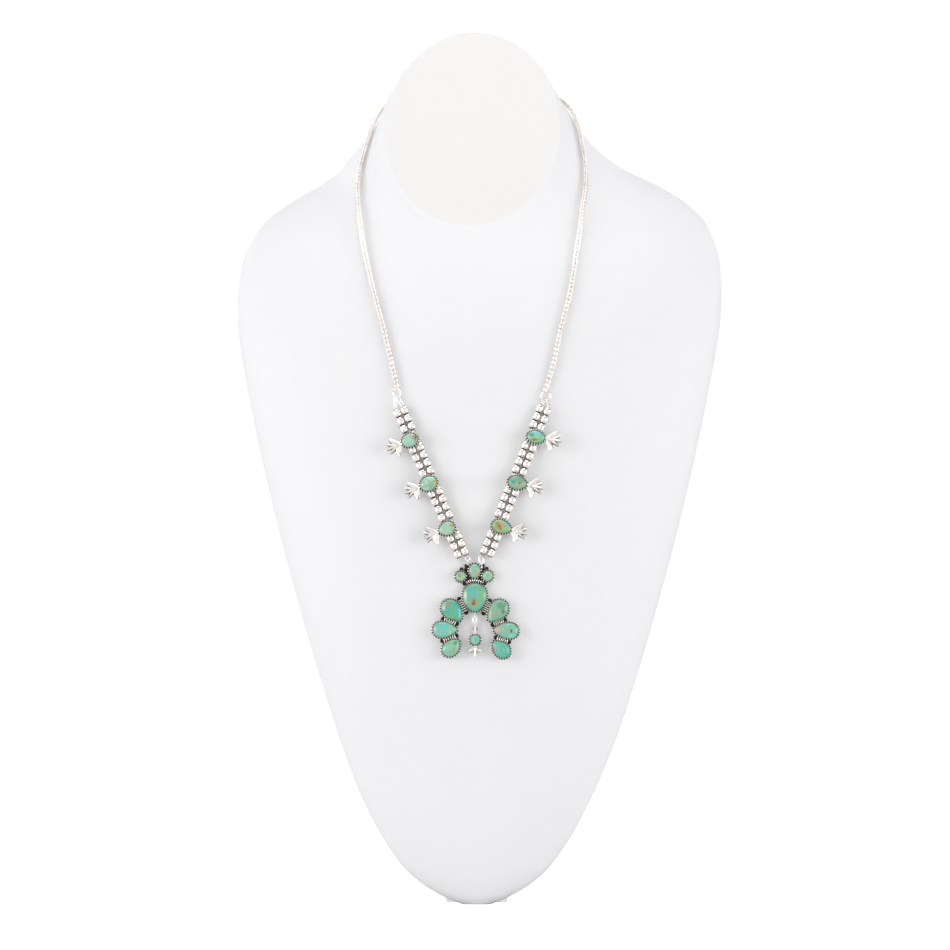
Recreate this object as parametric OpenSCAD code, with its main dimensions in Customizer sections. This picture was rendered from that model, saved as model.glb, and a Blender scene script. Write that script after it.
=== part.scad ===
// Squash blossom necklace, laid on a plain neck bust. Millimetres, +Z up, the chest faces -Y.

/* [Neck bust] */
// Height of the bust
bust_height = 508; // [480:1:540]
// Sides of each bust section
bust_sides = 44; // [24:4:48]
// Width of the easel leg behind the bust
leg_width = 66; // [50:1:80]
// Thickness of the easel leg
leg_thickness = 4; // [3:0.5:8]

/* [Chain and rings] */
// Diameter of the round chain
chain_d = 3; // [2.4:0.1:3.2]
// Distance between two rings of the chain's tube
chain_step = 7; // [6:0.5:9]
// Outer diameter of the jump rings at the chain's ends
jump_ring_d = 6.3; // [6:0.1:6.8]
// Wire of the jump rings
jump_wire = 0.8; // [0.6:0.05:0.9]
// Diameter of the clasp's body
clasp_d = 3.4; // [3:0.1:4]

/* [Beads] */
// Diameter of a silver bead
bead_d = 4.7; // [4.4:0.1:4.7]
// Length of a bead between its flat ends
bead_length = 4.4; // [4:0.1:4.6]
// Diameter of the hole through a bead
bead_hole = 1; // [0.8:0.1:1.2]
// Diameter of the beading wire
wire_d = 0.5; // [0.4:0.05:0.6]
// Distance between the two rows at their ends
row_gap = 5; // [4.9:0.1:5.2]
// How much wider apart the rows are at mid length
row_swell = 0.7; // [0:0.1:1]

/* [Settings] */
// Thickness of the silver back plates
plate_t = 1; // [0.8:0.1:1.3]
// Thickness of a bezel's wall
bezel_wall = 0.6; // [0.5:0.05:0.7]
// Height of a bezel's wall above its plate
bezel_height = 1.9; // [1.6:0.1:2.2]
// Gap round a stone in its bezel
stone_gap = 0.1; // [0.08:0.01:0.12]
// Length of the squash petals
petal_length = 9.6; // [8:0.1:10]
// Diameter of the raindrop balls
raindrop_d = 1.6; // [1.3:0.1:1.8]
// Ribs across each band of the naja
band_ribs = 7; // [5:1:9]

/* [Hidden] */

silver = "silver";
turquoise = "mediumaquamarine";
fine = 48;
smooth = 24;
overlap = 0.1;
rest_gap = 0.35;
// Play between two wires that are linked
play = 0.15;

// Bust sections at full size, from the foot up. Columns: height at the front, height at the back,
// half width, front, back. The upper sections tilt until the last one is the slanted cut of the neck.
front_z = 0; back_z = 1; half_w = 2; front_at = 3; back_at = 4;
bust_sections = [
    [0, 0, 8, -12, 12],
    [4, 4, 19, -17, 15],
    [13, 13, 34, -21, 18],
    [25, 25, 46, -24.5, 21],
    [48, 48, 60.5, -28, 26],
    [83, 83, 76, -31, 33],
    [130, 130, 91.5, -33, 41],
    [176, 176, 105, -32, 49],
    [223, 223, 117.5, -28, 58],
    [270, 270, 128.5, -20, 68],
    [317, 317, 137.5, -9, 82],
    [336, 346, 141, -3, 92],
    [352, 372, 141, 4.5, 101],
    [364, 396, 137.5, 11.5, 109],
    [373, 416, 129.5, 17.5, 115],
    [380, 432, 112, 23, 119],
    [384.5, 446, 90, 26.5, 121],
    [387, 460, 77.5, 29, 121.5],
    [389, 474, 67.5, 31, 121.5],
    [391, 490, 59, 32.5, 120.5],
    [392.5, 501, 53.5, 33.5, 118.5],
    [394, 508, 49.6, 35, 115]
];
bust_k = bust_height / 508;
plain_sections = [for (s = bust_sections) if (s[front_z] == s[back_z]) s * bust_k];

// The chest's front is an ellipse at each height, so its place and slope are worked out here
function chest_width(z) = lookup(z, [for (s = plain_sections) [s[front_z], s[half_w]]]);
function chest_front(z) = lookup(z, [for (s = plain_sections) [s[front_z], s[front_at]]]);
function chest_back(z) = lookup(z, [for (s = plain_sections) [s[front_z], s[back_at]]]);
function chest_y(x, z) = let (middle = (chest_front(z) + chest_back(z)) / 2)
    middle - (middle - chest_front(z)) * sqrt(1 - pow(x / chest_width(z), 2));
slope_step = 4;
function slope_x(x, z) = (chest_y(x + slope_step, z) - chest_y(x - slope_step, z)) / (2 * slope_step);
function slope_z(x, z) = (chest_y(x, z + slope_step) - chest_y(x, z - slope_step)) / (2 * slope_step);
function turn_of(x, z) = atan(slope_x(x, z));
function lean_of(x, z) = -atan(slope_z(x, z) * cos(turn_of(x, z)));

// Axes of the frame that lies on the chest at a point: across, up and out
function across(x, z) = [cos(turn_of(x, z)), sin(turn_of(x, z)), 0];
function out_of(x, z) = let (t = turn_of(x, z), p = lean_of(x, z)) [sin(t) * cos(p), -cos(t) * cos(p), -sin(p)];
function up_of(x, z) = cross(out_of(x, z), across(x, z));
function chest_point(x, z, lift = 0) = [x, chest_y(x, z), z] + lift * out_of(x, z);
function on_axes(p, x, z) = let (d = p - chest_point(x, z))
    [d * across(x, z), d * up_of(x, z), d * out_of(x, z)];

module on_chest(x, z, lift = 0, roll = 0) {
    translate(chest_point(x, z)) rotate([0, 0, turn_of(x, z)]) rotate([90 + lean_of(x, z), 0, 0])
        translate([0, 0, lift]) rotate([0, 0, roll]) children();
}

// Turns +Z to point along d
module along(d) {
    rotate([0, acos(d[2] / norm(d)), atan2(d[1], d[0])]) children();
}

// Chain routes from the front rings, up over the shoulders and round behind the neck, chosen by hand
left_route = [
    [-46, -12.5, 300], [-47.5, -10.5, 307], [-50, -7.5, 318], [-54, -2, 335], [-58.5, 6, 352], [-62.5, 16, 368],
    [-65.5, 26, 381.5], [-67.5, 37.5, 393.5], [-69, 49, 405], [-69.5, 60, 416.5], [-68, 70, 428],
    [-65, 79, 439.5], [-61, 89, 452], [-55.5, 99, 462.5], [-46, 110.5, 470], [-33, 117, 475.5],
    [-21, 121.5, 479], [-10, 123.5, 481]
];
right_route = [
    [40, -13.1, 299], [42.4, -11.1, 306.5], [45.5, -8, 318], [49, -2.5, 335], [53.5, 5.5, 352], [56.5, 15, 368],
    [58.5, 25.5, 381.5], [60.5, 36.5, 393.5], [62, 47.5, 405.5], [63.5, 58.5, 417.5], [63.5, 68, 430],
    [61.5, 77, 442], [59, 87.5, 454.5], [54, 98, 464.5], [45.5, 109.5, 470.5], [33.5, 117, 475.5],
    [21, 121.5, 479], [10, 123.5, 481]
];
neck_axis = [0, 75];

// Smooth curve through a list of points, at u from 0 to the last index
function curve_at(pts, u) = let (
        last = len(pts) - 1, i = min(floor(u), last - 1), t = u - i,
        a = pts[max(i - 1, 0)], b = pts[i], c = pts[i + 1], d = pts[min(i + 2, last)]
    ) 0.5 * (2 * b + (c - a) * t + (2 * a - 5 * b + 4 * c - d) * t * t + (3 * b - a - 3 * c + d) * t * t * t);
function route_length(pts, i = 0) =
    i >= len(pts) - 1 ? 0 : norm(pts[i + 1] - pts[i]) + route_length(pts, i + 1);
function resampled(pts, step) = let (n = ceil(route_length(pts) / step))
    [for (k = [0:n]) curve_at(pts, k * (len(pts) - 1) / n)];

// A round tube swept along points, its sections turned towards side, which may follow the point
function unit(v) = v / norm(v);
function tangent(pts, i) = unit(pts[min(i + 1, len(pts) - 1)] - pts[max(i - 1, 0)]);
function tube_ring(c, t, out, r, sides) = let (b = unit(cross(t, out)), n = cross(b, t))
    [for (k = [0:sides - 1]) c + r * (n * cos(360 * k / sides) + b * sin(360 * k / sides))];
function tube_faces(rings, sides) = concat(
    [[for (k = [0:sides - 1]) k]],
    [for (i = [0:rings - 2], k = [0:sides - 1], half = [0, 1]) let (
        a = i * sides + k, b = i * sides + (k + 1) % sides, c = b + sides, d = a + sides
    ) half == 0 ? [a, c, b] : [a, d, c]],
    [[for (k = [sides - 1:-1:0]) (rings - 1) * sides + k]]
);
module tube(pts, outs, r, sides) {
    polyhedron(
        [for (i = [0:len(pts) - 1]) each tube_ring(pts[i], tangent(pts, i), outs[i], r, sides)],
        tube_faces(len(pts), sides)
    );
}

module ring_wire(r, wire_r) {
    rotate_extrude($fn = fine) translate([r, 0]) circle(r = wire_r, $fn = smooth);
}

// An oval wire link in the XY plane, its end arcs centred at p and q
module oval_link(p, q, r, wire_r) {
    d = q - p;
    translate([p[0], p[1], 0]) rotate([0, 0, atan2(d[1], d[0])]) {
        rotate([0, 0, 90]) rotate_extrude(angle = 180, $fn = fine)
            translate([r, 0]) circle(r = wire_r, $fn = smooth);
        translate([norm(d), 0, 0]) rotate([0, 0, -90])
            rotate_extrude(angle = 180, $fn = fine) translate([r, 0]) circle(r = wire_r, $fn = smooth);
        for (side = [-1, 1]) translate([0, side * r, 0]) rotate([0, 90, 0])
            cylinder(r = wire_r, h = norm(d), $fn = smooth);
    }
}

// Outline of a stone: length along X, widest towards -X, pointed at +X as the taper grows
function widest(taper) = acos(-taper / (2 + taper));
function drop_point(length, width, taper, a) = [
    length / 2 * cos(a),
    width / 2 * sin(a) * pow(abs(sin(a / 2)), taper) / (sin(widest(taper)) * pow(sin(widest(taper) / 2), taper))
];
stone_sides = 24;
function outline(length, width, taper, grow = 0) = [for (k = [0:stone_sides - 1]) let (
        a = 360 * k / stone_sides, p = drop_point(length, width, taper, a),
        t = drop_point(length, width, taper, a + 2) - drop_point(length, width, taper, a - 2),
        n = [t[1], -t[0]] / norm(t)
    ) p + grow * n];

// Cabochon: a low wall and a dome in rings. Columns of dome_rings: share of the outline, share of the rise
dome_rings = [[1, 0], [1, 0.3], [0.93, 0.58], [0.74, 0.82], [0.42, 0.96]];
module cabochon(length, width, taper, rise) {
    base = outline(length, width, taper);
    rings = len(dome_rings);
    n = stone_sides;
    color(turquoise) polyhedron(
        concat([for (s = dome_rings, p = base) [p[0] * s[0], p[1] * s[0], rise * s[1]]], [[0, 0, rise]]),
        concat(
            [[for (k = [0:n - 1]) k]],
            [for (i = [0:rings - 2], k = [0:n - 1], half = [0, 1]) let (
                a = i * n + k, b = i * n + (k + 1) % n, c = b + n, d = a + n
            ) half == 0 ? [a, c, b] : [a, d, c]],
            [for (k = [0:n - 1]) let (a = (rings - 1) * n + k, b = (rings - 1) * n + (k + 1) % n) [a, rings * n, b]]
        )
    );
}

// Wall of a bezel round a stone, open at both ends
module bezel(length, width, taper) {
    linear_extrude(bezel_height + overlap) difference() {
        polygon(outline(length, width, taper, bezel_wall));
        polygon(outline(length, width, taper, stone_gap));
    }
}

module neck_bust() {
    n = bust_sides;
    rows = len(bust_sections);
    color("whitesmoke") polyhedron(
        [for (s = bust_sections, k = [0:n - 1]) let (a = 360 * k / n) bust_k * [
            s[half_w] * cos(a),
            (s[front_at] + s[back_at]) / 2 + (s[back_at] - s[front_at]) / 2 * sin(a),
            (s[front_z] + s[back_z]) / 2 + (s[back_z] - s[front_z]) / 2 * sin(a)
        ]],
        concat(
            [[for (k = [0:n - 1]) k]],
            [for (i = [0:rows - 2], k = [0:n - 1], half = [0, 1]) let (
                a = i * n + k, b = i * n + (k + 1) % n, c = b + n, d = a + n
            ) half == 0 ? [a, c, b] : [a, d, c]],
            [[for (k = [n - 1:-1:0]) (rows - 1) * n + k]]
        )
    );
}

// The leg stands on the table behind the bust and its head lies on the bust's back
leg_head_z = 236;
leg_foot_y = 108;
leg_foot_depth = 10;
leg_foot_height = 3;
leg_foot_width = 36;
module bust_leg() {
    head_y = chest_back(leg_head_z) + rest_gap;
    color("gainsboro") intersection() {
        translate([-leg_width / 2, 0, 0]) rotate([90, 0, 90]) linear_extrude(leg_width) polygon([
            [leg_foot_y, 0], [leg_foot_y + leg_foot_depth, 0], [leg_foot_y + leg_foot_depth, leg_foot_height],
            [head_y + leg_thickness, leg_head_z], [head_y, leg_head_z]
        ]);
        translate([0, leg_foot_y + leg_foot_depth + 1, 0]) rotate([90, 0, 0]) linear_extrude(leg_foot_y) polygon([
            [-leg_foot_width / 2, 0], [leg_foot_width / 2, 0], [leg_width / 2, leg_head_z],
            [-leg_width / 2, leg_head_z]
        ]);
    }
}

// Each side's two bead rows, by the first and the last pair of beads. Columns: outward sign, x and
// height at the top, x and height at the bottom, turn of the top ring, turn of the wire loops
left_rows = [-1, -43.6, 285.4, -8.9, 204.1, 48, 50];
right_rows = [1, 38.5, 286.4, 6.4, 204.7, 0, 58];
groups = [3, 4, 4, 3];
group_step = 1.6;
beads_per_row = 14;
last_place = beads_per_row - 1 + group_step * (len(groups) - 1);
bead_lift = bead_d / 2 + rest_gap;
function group_of(i) =
    i < groups[0] ? 0 : i < groups[0] + groups[1] ? 1 : i < groups[0] + groups[1] + groups[2] ? 2 : 3;
function bead_share(i) = (i + group_step * group_of(i)) / last_place;
function blossom_share(k) = (bead_share([2, 6, 10][k]) + bead_share([3, 7, 11][k])) / 2;
function side_top(s) = [s[1], s[2]];
function side_bottom(s) = [s[3], s[4]];
function side_dir(s) = unit(side_bottom(s) - side_top(s));
function side_out(s) = let (d = side_dir(s)) s[0] * [-d[1], d[0]] * sign(-d[1]);
function middle_at(s, t) = side_top(s) + (side_bottom(s) - side_top(s)) * t;

// A place on a row in the chest's plan, and in space at the beads' height. row is -1 inner, 1 outer
function row_plan(s, row, t) = middle_at(s, t)
    + row * side_out(s) * (row_gap + row_swell * sin(180 * min(max(t, 0), 1))) / 2;
function row_point(s, row, t) = let (p = row_plan(s, row, t)) chest_point(p[0], p[1], bead_lift);

module bead_row(s, row) {
    color(silver) for (i = [0:beads_per_row - 1]) {
        t = bead_share(i);
        translate(row_point(s, row, t)) along(row_point(s, row, t + 0.01) - row_point(s, row, t - 0.01))
            rotate_extrude($fn = fine) difference() {
                intersection() {
                    circle(d = bead_d, $fn = fine);
                    translate([0, -bead_length / 2]) square([bead_d, bead_length]);
                }
                translate([-bead_d, -bead_d]) square([bead_d + bead_hole / 2, 2 * bead_d]);
            }
    }
}

// Jump rings hang below the chains' ends, in the frame of the chest at their own centre
jump_r = (jump_ring_d - jump_wire) / 2;
eye_r = 1;
eye_wire = 0.3;
function ring_x(route) = route[0][0];
function ring_z(route) = route[0][2] - jump_r - eye_r - play;
function ring_lift(s) = s[5] > 0 ? 3.1 : 2.1;

module jump_ring(s, route) {
    color(silver) on_chest(ring_x(route), ring_z(route), ring_lift(s)) rotate([0, -s[0] * s[5], 0])
        ring_wire(jump_r, jump_wire / 2);
}

// Eye at the chain's end, round the top of its ring
module chain_eye(s, route) {
    on_chest(ring_x(route), ring_z(route), ring_lift(s)) rotate([0, -s[0] * s[5], 0])
        translate([0, jump_r + play, 0]) rotate([0, 90, 0]) ring_wire(eye_r, eye_wire);
}

module chain(s, route) {
    pts = resampled(route, chain_step);
    outs = [for (p = pts) unit([p[0] - neck_axis[0], p[1] - neck_axis[1], 0])];
    back_end = route[len(route) - 1];
    color(silver) {
        tube(pts, outs, chain_d / 2, 8);
        chain_eye(s, route);
        translate(back_end + [-s[0] * eye_r, 0, 0]) ring_wire(eye_r, eye_wire);
    }
}

module clasp() {
    back_end = left_route[len(left_route) - 1];
    eye_x = abs(back_end[0]) - 2 * eye_r;
    color(silver) translate([0, back_end[1], back_end[2]]) {
        rotate([0, 90, 0])
            cylinder(d = clasp_d, h = 2 * (eye_x - eye_r + 2 * overlap), center = true, $fn = smooth);
        for (side = [-1, 1]) translate([side * eye_x, 0, 0]) rotate([90, 0, 0]) ring_wire(eye_r, eye_wire);
    }
}

// Bead wires: a straight run through the beads, a long loop on the jump ring and an eye on the crown ring
loop_r = 1.15;
entry_reach = 0.45;
function beyond(s, reach) = reach / norm(side_bottom(s) - side_top(s));
function entry(s, row) = row_point(s, row, -beyond(s, bead_length / 2 + entry_reach));
function leave(s, row) = row_point(s, row, 1 + beyond(s, bead_length / 2 + play));
function ring_spot(row, s) = row < 0 ? -90 - s[0] * 28 : -90 + s[0] * 18;

module wire_loop(s, row, route) {
    x = ring_x(route);
    z = ring_z(route);
    a = ring_spot(row, s);
    spot = [jump_r * cos(a) * cos(s[5]), jump_r * sin(a), ring_lift(s) + s[0] * jump_r * cos(a) * sin(s[5])];
    foot = on_axes(entry(s, row), x, z);
    d = unit(spot - foot);
    near = spot - (loop_r - jump_wire / 2 - wire_d / 2 - 2 * play) * d;
    far = foot + loop_r * d;
    on_chest(x, z) translate(near) rotate([0, 0, atan2(d[1], d[0])]) rotate([0, -asin(d[2]), 0])
        rotate([s[0] * s[6], 0, 0]) oval_link([0, 0], [-norm(far - near), 0], loop_r, wire_d / 2);
}

// Rings at the naja's crown, in the naja's own frame. Columns: centre x and y, arc radius, half run, tilt
naja_x = -1;
naja_z = 178;
naja_lift = rest_gap;
ring_height = 1.9;
left_crown = [-4.2, 22.8, 1.25, 0, 0];
right_crown = [3.7, 22, 1.25, 1.1, 10];
crown_wire = 0.35;
function crown_of(s) = s[0] < 0 ? left_crown : right_crown;
function crown_arc(c, end) = [c[0] - end * c[3] * sin(c[4]), c[1] + end * c[3] * cos(c[4])];
function crown_spot_angle(s, row) = s[0] < 0 ? (row < 0 ? 84 : 160) : row < 0 ? 104 : 20;
eyelet_r = 0.95;
wire_eye_r = 0.85;
function crown_spot(s, row, out) = let (c = crown_of(s), p = crown_arc(c, 1), a = crown_spot_angle(s, row))
    [p[0] + (c[2] + out) * cos(a), p[1] + (c[2] + out) * sin(a), naja_lift + ring_height];
function from_naja(p) = chest_point(naja_x, naja_z) + p[0] * across(naja_x, naja_z)
    + p[1] * up_of(naja_x, naja_z) + p[2] * out_of(naja_x, naja_z);

module bead_wire(s, row, route) {
    top = entry(s, row);
    bottom = leave(s, row);
    eye_edge = from_naja(crown_spot(s, row, wire_eye_r + play));
    pts = concat([top], [for (i = [0:2:2 * beads_per_row]) row_point(s, row, i / (2 * beads_per_row))],
        [bottom, eye_edge]);
    outs = [for (p = pts) [0, -1, 0]];
    color(silver) {
        tube(pts, outs, wire_d / 2, 6);
        wire_loop(s, row, route);
        a = crown_spot_angle(s, row);
        on_chest(naja_x, naja_z) translate(crown_spot(s, row, play)) rotate([0, 0, a]) rotate([90, 0, 0])
            ring_wire(wire_eye_r, wire_d / 2);
    }
}

module crown_ring(s) {
    c = crown_of(s);
    color(silver) on_chest(naja_x, naja_z, naja_lift + ring_height) {
        if (c[3] > 0) oval_link(crown_arc(c, -1), crown_arc(c, 1), c[2], crown_wire);
        else translate([c[0], c[1], 0]) ring_wire(c[2], crown_wire);
    }
}

// Blossoms. Columns: stone length, stone width, taper, turn of the stone and petals from square, and how
// far the plate sits from the middle of its tubes, outward and along the row
left_blossoms = [
    [9.3, 7.7, 0.1, 0, -1.35, 1.55], [10, 8, 0.1, 0, -1.4, 0.95], [9.4, 7.6, 0.3, 0, -0.95, 0.75]
];
right_blossoms = [
    [10.2, 7.2, 0.2, 12, -1.35, -0.65], [10.8, 7.6, 0.3, 9, -1.6, -1.4], [11.4, 7.6, 0.3, 5, -0.9, -0.3]
];
blossom_out = 3;
tube_r = 1.15;
tube_hole = 1.2;
tube_length = 7;
blossom_plate = bead_lift + bead_d / 2 + play;
blossom_rise = 2.9;
fan_shift = bezel_wall + 0.9;
function blossom_plan(s, k) = middle_at(s, blossom_share(k)) + blossom_out * side_out(s);
function blossom_roll(s) = let (d = side_dir(s)) atan2(d[1], d[0]) + 90;

// Petals of a squash blossom, flat. Columns: angle, share of the length, width
petals = [[-40, 0.88, 3], [-14, 0.97, 1.9], [0, 1, 1.9], [14, 0.97, 1.9], [40, 0.88, 3]];
wide_petal = 20;
heart_share = 0.12;
module leaf(length, width) {
    r = (length * length / 4 + width * width / 4) / width;
    translate([length / 2, 0]) intersection() {
        translate([0, r - width / 2]) circle(r = r, $fn = fine);
        translate([0, width / 2 - r]) circle(r = r, $fn = fine);
    }
}
module petal_fan(length, rows = petals) {
    for (p = rows) linear_extrude(plate_t + (abs(p[0]) > wide_petal ? 4 : 2) * overlap) rotate(p[0])
        leaf(length * p[1], length * p[2] / petal_length);
    linear_extrude(plate_t + 6 * overlap) circle(r = length * heart_share, $fn = smooth);
}

// The blossom's own frame: +X outward along the petals, +Y up along the rows, +Z out of the chest
module blossom(s, k) {
    b = s[0] < 0 ? left_blossoms[k] : right_blossoms[k];
    plan = blossom_plan(s, k);
    flip = s[0] < 0 ? 180 : 0;
    t = blossom_share(k);
    spread = (row_gap + row_swell * sin(180 * t)) / 2;
    color(silver) on_chest(plan[0], plan[1], 0, blossom_roll(s) + flip) {
        for (row = [-1, 1]) translate([-blossom_out + row * spread, 0, bead_lift]) difference() {
            union() {
                rotate([90, 0, 0]) cylinder(r = tube_r, h = tube_length, center = true, $fn = smooth);
                translate([-tube_r / 2, -tube_length / 2, 0])
                    cube([tube_r, tube_length, blossom_plate - bead_lift + overlap]);
            }
            rotate([90, 0, 0]) cylinder(d = tube_hole, h = tube_length + 1, center = true, $fn = smooth);
        }
        translate([b[4], b[5], blossom_plate]) rotate([0, 0, s[0] * b[3]]) {
            linear_extrude(plate_t) polygon(outline(b[0], b[1], b[2], bezel_wall));
            translate([0, 0, plate_t - overlap]) bezel(b[0], b[1], b[2]);
            translate([b[0] / 2 + fan_shift, 0, 0]) petal_fan(petal_length);
        }
    }
}

module blossom_stone(s, k) {
    b = s[0] < 0 ? left_blossoms[k] : right_blossoms[k];
    plan = blossom_plan(s, k);
    flip = s[0] < 0 ? 180 : 0;
    on_chest(plan[0], plan[1], 0, blossom_roll(s) + flip)
        translate([b[4], b[5], blossom_plate + plate_t + stone_gap]) rotate([0, 0, s[0] * b[3]])
            cabochon(b[0], b[1], b[2], blossom_rise);
}

// Naja stones in its own frame. Columns: name, centre x and y, length, width, taper, angle of the point, rise
naja_stones = [
    ["stone_centre", 0, 0.2, 16.4, 13.9, 0.3, -90, 4],
    ["stone_crown", -0.1, 15.6, 8.2, 6.6, 0.15, -90, 3.2],
    ["stone_crown_left", -8.2, 12.5, 5.8, 5.6, 0, 0, 2.9],
    ["stone_crown_right", 7.4, 12.7, 6, 5.7, 0, 45, 2.9],
    ["stone_upper_left", -12.9, -7.6, 14.6, 10.4, 0.55, -47, 3.7],
    ["stone_upper_right", 12.9, -7.8, 14.6, 10.4, 0.55, -132, 3.7],
    ["stone_middle_left", -17.3, -18.45, 14, 9.2, 0.55, 0, 3.6],
    ["stone_middle_right", 18, -19, 14.4, 9.2, 0.6, 176, 3.6],
    ["stone_lower_left", -13.5, -28.8, 11.8, 8.6, 0.4, 42, 3.5],
    ["stone_lower_right", 15, -29.6, 12, 8.6, 0.45, 137, 3.5]
];
function stone_row(name) = [for (s = naja_stones) if (s[0] == name) s][0];

module at_stone(s) {
    translate([s[1], s[2], 0]) rotate([0, 0, s[6]]) children();
}

module naja_stone(name) {
    s = stone_row(name);
    on_chest(naja_x, naja_z, naja_lift + plate_t + stone_gap) at_stone(s) cabochon(s[3], s[4], s[5], s[7]);
}

// Ribbed bands between the stones. Columns: start x and y, end x and y
bands = [
    [-9, -0.6, -5, -8.4], [8.6, -1.6, 5, -8.8],
    [-18.4, -12.2, -10.4, -15], [17.4, -12.8, 10.4, -15.6],
    [-18.8, -25, -10.6, -22], [12.2, -23, 19.8, -25.6]
];
band_width = 2.6;
band_reach = 1;
rib_share = 0.8;
ball_sink = 0.2;
rim = 0.2;
crown_drops = [
    [-7.8, 16.8], [-5, 18.8], [-4.9, 16.6], [6.9, 17.2], [4.8, 18.8], [4.7, 16.6], [-6.2, 8.2], [5.8, 8.4]
];
module band_plate(b) {
    d = [b[2] - b[0], b[3] - b[1]];
    translate([b[0], b[1]]) rotate(atan2(d[1], d[0])) 
        translate([-band_reach, -band_width / 2]) square([norm(d) + 2 * band_reach, band_width]);
}
module raindrop(p) {
    translate([p[0], p[1], plate_t + raindrop_d * ball_sink]) sphere(d = raindrop_d, $fn = fine);
}
module band_relief(b) {
    d = [b[2] - b[0], b[3] - b[1]];
    rib_run = norm(d) - 1.5 * raindrop_d;
    translate([b[0], b[1], 0]) rotate([0, 0, atan2(d[1], d[0])]) for (i = [0:band_ribs - 1])
        translate([(norm(d) - rib_run) / 2 + rib_run * i / (band_ribs - 1), 0, plate_t])
            rotate([90, 0, 0]) cylinder(d = rib_share * rib_run / band_ribs, h = band_width - 2 * rim, center = true, $fn = 8);
    for (p = [[b[0], b[1]], [b[2], b[3]]]) raindrop(p);
}

crown_plate = [[-8.2, 12.5], [0, 0], [7.4, 12.7], [4.9, 18.9], [-5.2, 18.9]];
crown_left_eye = [left_crown[0], left_crown[1] - left_crown[2] - 0.05];
crown_right_eye = let (c = crown_arc(right_crown, -1)) [c[0] + 0.2, c[1] - right_crown[2] - 0.02];
drop_eye = [0, -10.7];
tab = [0.9, 1.6];
module naja() {
    color(silver) on_chest(naja_x, naja_z, naja_lift) {
        linear_extrude(plate_t) {
            for (s = naja_stones) translate([s[1], s[2]]) rotate(s[6])
                polygon(outline(s[3], s[4], s[5], bezel_wall + rim));
            for (b = bands) band_plate(b);
            for (p = crown_drops) translate(p) circle(r = raindrop_d / 2 + rim, $fn = smooth);
            polygon(crown_plate);
        }
        for (s = naja_stones) at_stone(s) translate([0, 0, plate_t - overlap]) bezel(s[3], s[4], s[5]);
        for (b = bands) band_relief(b);
        for (p = crown_drops) raindrop(p);
        for (p = [crown_left_eye, crown_right_eye, drop_eye]) {
            translate([p[0], p[1], ring_height]) rotate([0, 90, 0]) ring_wire(eyelet_r, crown_wire);
            translate([p[0] - tab[0] / 2, p[1] - sign(p[1]) * eyelet_r - (p[1] > 0 ? tab[1] : 0), 0])
                cube([tab[0], tab[1], ring_height]);
        }
    }
}

// The drop hangs from the eye below the centre stone
drop_x = 0.2;
link_y = [-11.8, -13.6];
drop_stone_y = -24.4;
drop_stone_d = 5.5;
daisy_y = -18;
drop_petal = 6.2;
drop_fan_shift = bezel_wall + 0.7;
daisy_r = 1.1;
daisy_petals = 8;
stem_width = 1;
link_r = 0.95;
link_wire = 0.3;
drop_eye_y = link_y[1] - link_r - play;
drop_petals = [petals[0], petals[2], petals[4]];
module drop_ring() {
    color(silver) on_chest(naja_x, naja_z, naja_lift + ring_height)
        oval_link([drop_eye[0], link_y[0]], [drop_eye[0], link_y[1]], link_r, link_wire);
}
module drop_setting() {
    color(silver) on_chest(naja_x, naja_z, naja_lift) {
        translate([drop_eye[0], drop_eye_y, ring_height]) rotate([0, 90, 0]) ring_wire(eyelet_r, link_wire);
        linear_extrude(plate_t) {
            translate([drop_x, daisy_y]) for (i = [0:daisy_petals - 1]) rotate(i * 360 / daisy_petals)
                translate([daisy_r, 0]) circle(r = daisy_r / 2, $fn = smooth);
            translate([drop_x, daisy_y]) circle(r = daisy_r, $fn = smooth);
            translate([drop_x - stem_width / 2, drop_stone_y])
                square([stem_width, drop_eye_y - eyelet_r - drop_stone_y]);
            translate([drop_x, drop_stone_y]) circle(d = drop_stone_d + 2 * (bezel_wall + rim), $fn = fine);
        }
        translate([drop_x - stem_width / 2, drop_eye_y - eyelet_r - link_wire, 0])
            cube([stem_width, 2 * link_wire, ring_height]);
        translate([drop_x, daisy_y, plate_t]) sphere(d = raindrop_d, $fn = fine);
        translate([drop_x, drop_stone_y, plate_t - overlap]) bezel(drop_stone_d, drop_stone_d, 0);
        translate([drop_x, drop_stone_y - drop_stone_d / 2 - drop_fan_shift, 0]) rotate([0, 0, -90])
            petal_fan(drop_petal, drop_petals);
    }
}
module drop_stone() {
    on_chest(naja_x, naja_z, naja_lift + plate_t + stone_gap) translate([drop_x, drop_stone_y, 0])
        cabochon(drop_stone_d, drop_stone_d, 0, blossom_rise);
}

neck_bust();
bust_leg();
chain(left_rows, left_route);  // chain_left
chain(right_rows, right_route);  // chain_right
clasp();
jump_ring(left_rows, left_route);  // jump_ring_left
jump_ring(right_rows, right_route);  // jump_ring_right
bead_wire(left_rows, -1, left_route);  // bead_wire_left_inner
bead_wire(left_rows, 1, left_route);  // bead_wire_left_outer
bead_wire(right_rows, -1, right_route);  // bead_wire_right_inner
bead_wire(right_rows, 1, right_route);  // bead_wire_right_outer
bead_row(left_rows, -1);  // beads_left_inner
bead_row(left_rows, 1);  // beads_left_outer
bead_row(right_rows, -1);  // beads_right_inner
bead_row(right_rows, 1);  // beads_right_outer
blossom(left_rows, 0);  // blossom_left_1
blossom(left_rows, 1);  // blossom_left_2
blossom(left_rows, 2);  // blossom_left_3
blossom(right_rows, 0);  // blossom_right_1
blossom(right_rows, 1);  // blossom_right_2
blossom(right_rows, 2);  // blossom_right_3
blossom_stone(left_rows, 0);  // blossom_stone_left_1
blossom_stone(left_rows, 1);  // blossom_stone_left_2
blossom_stone(left_rows, 2);  // blossom_stone_left_3
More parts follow.
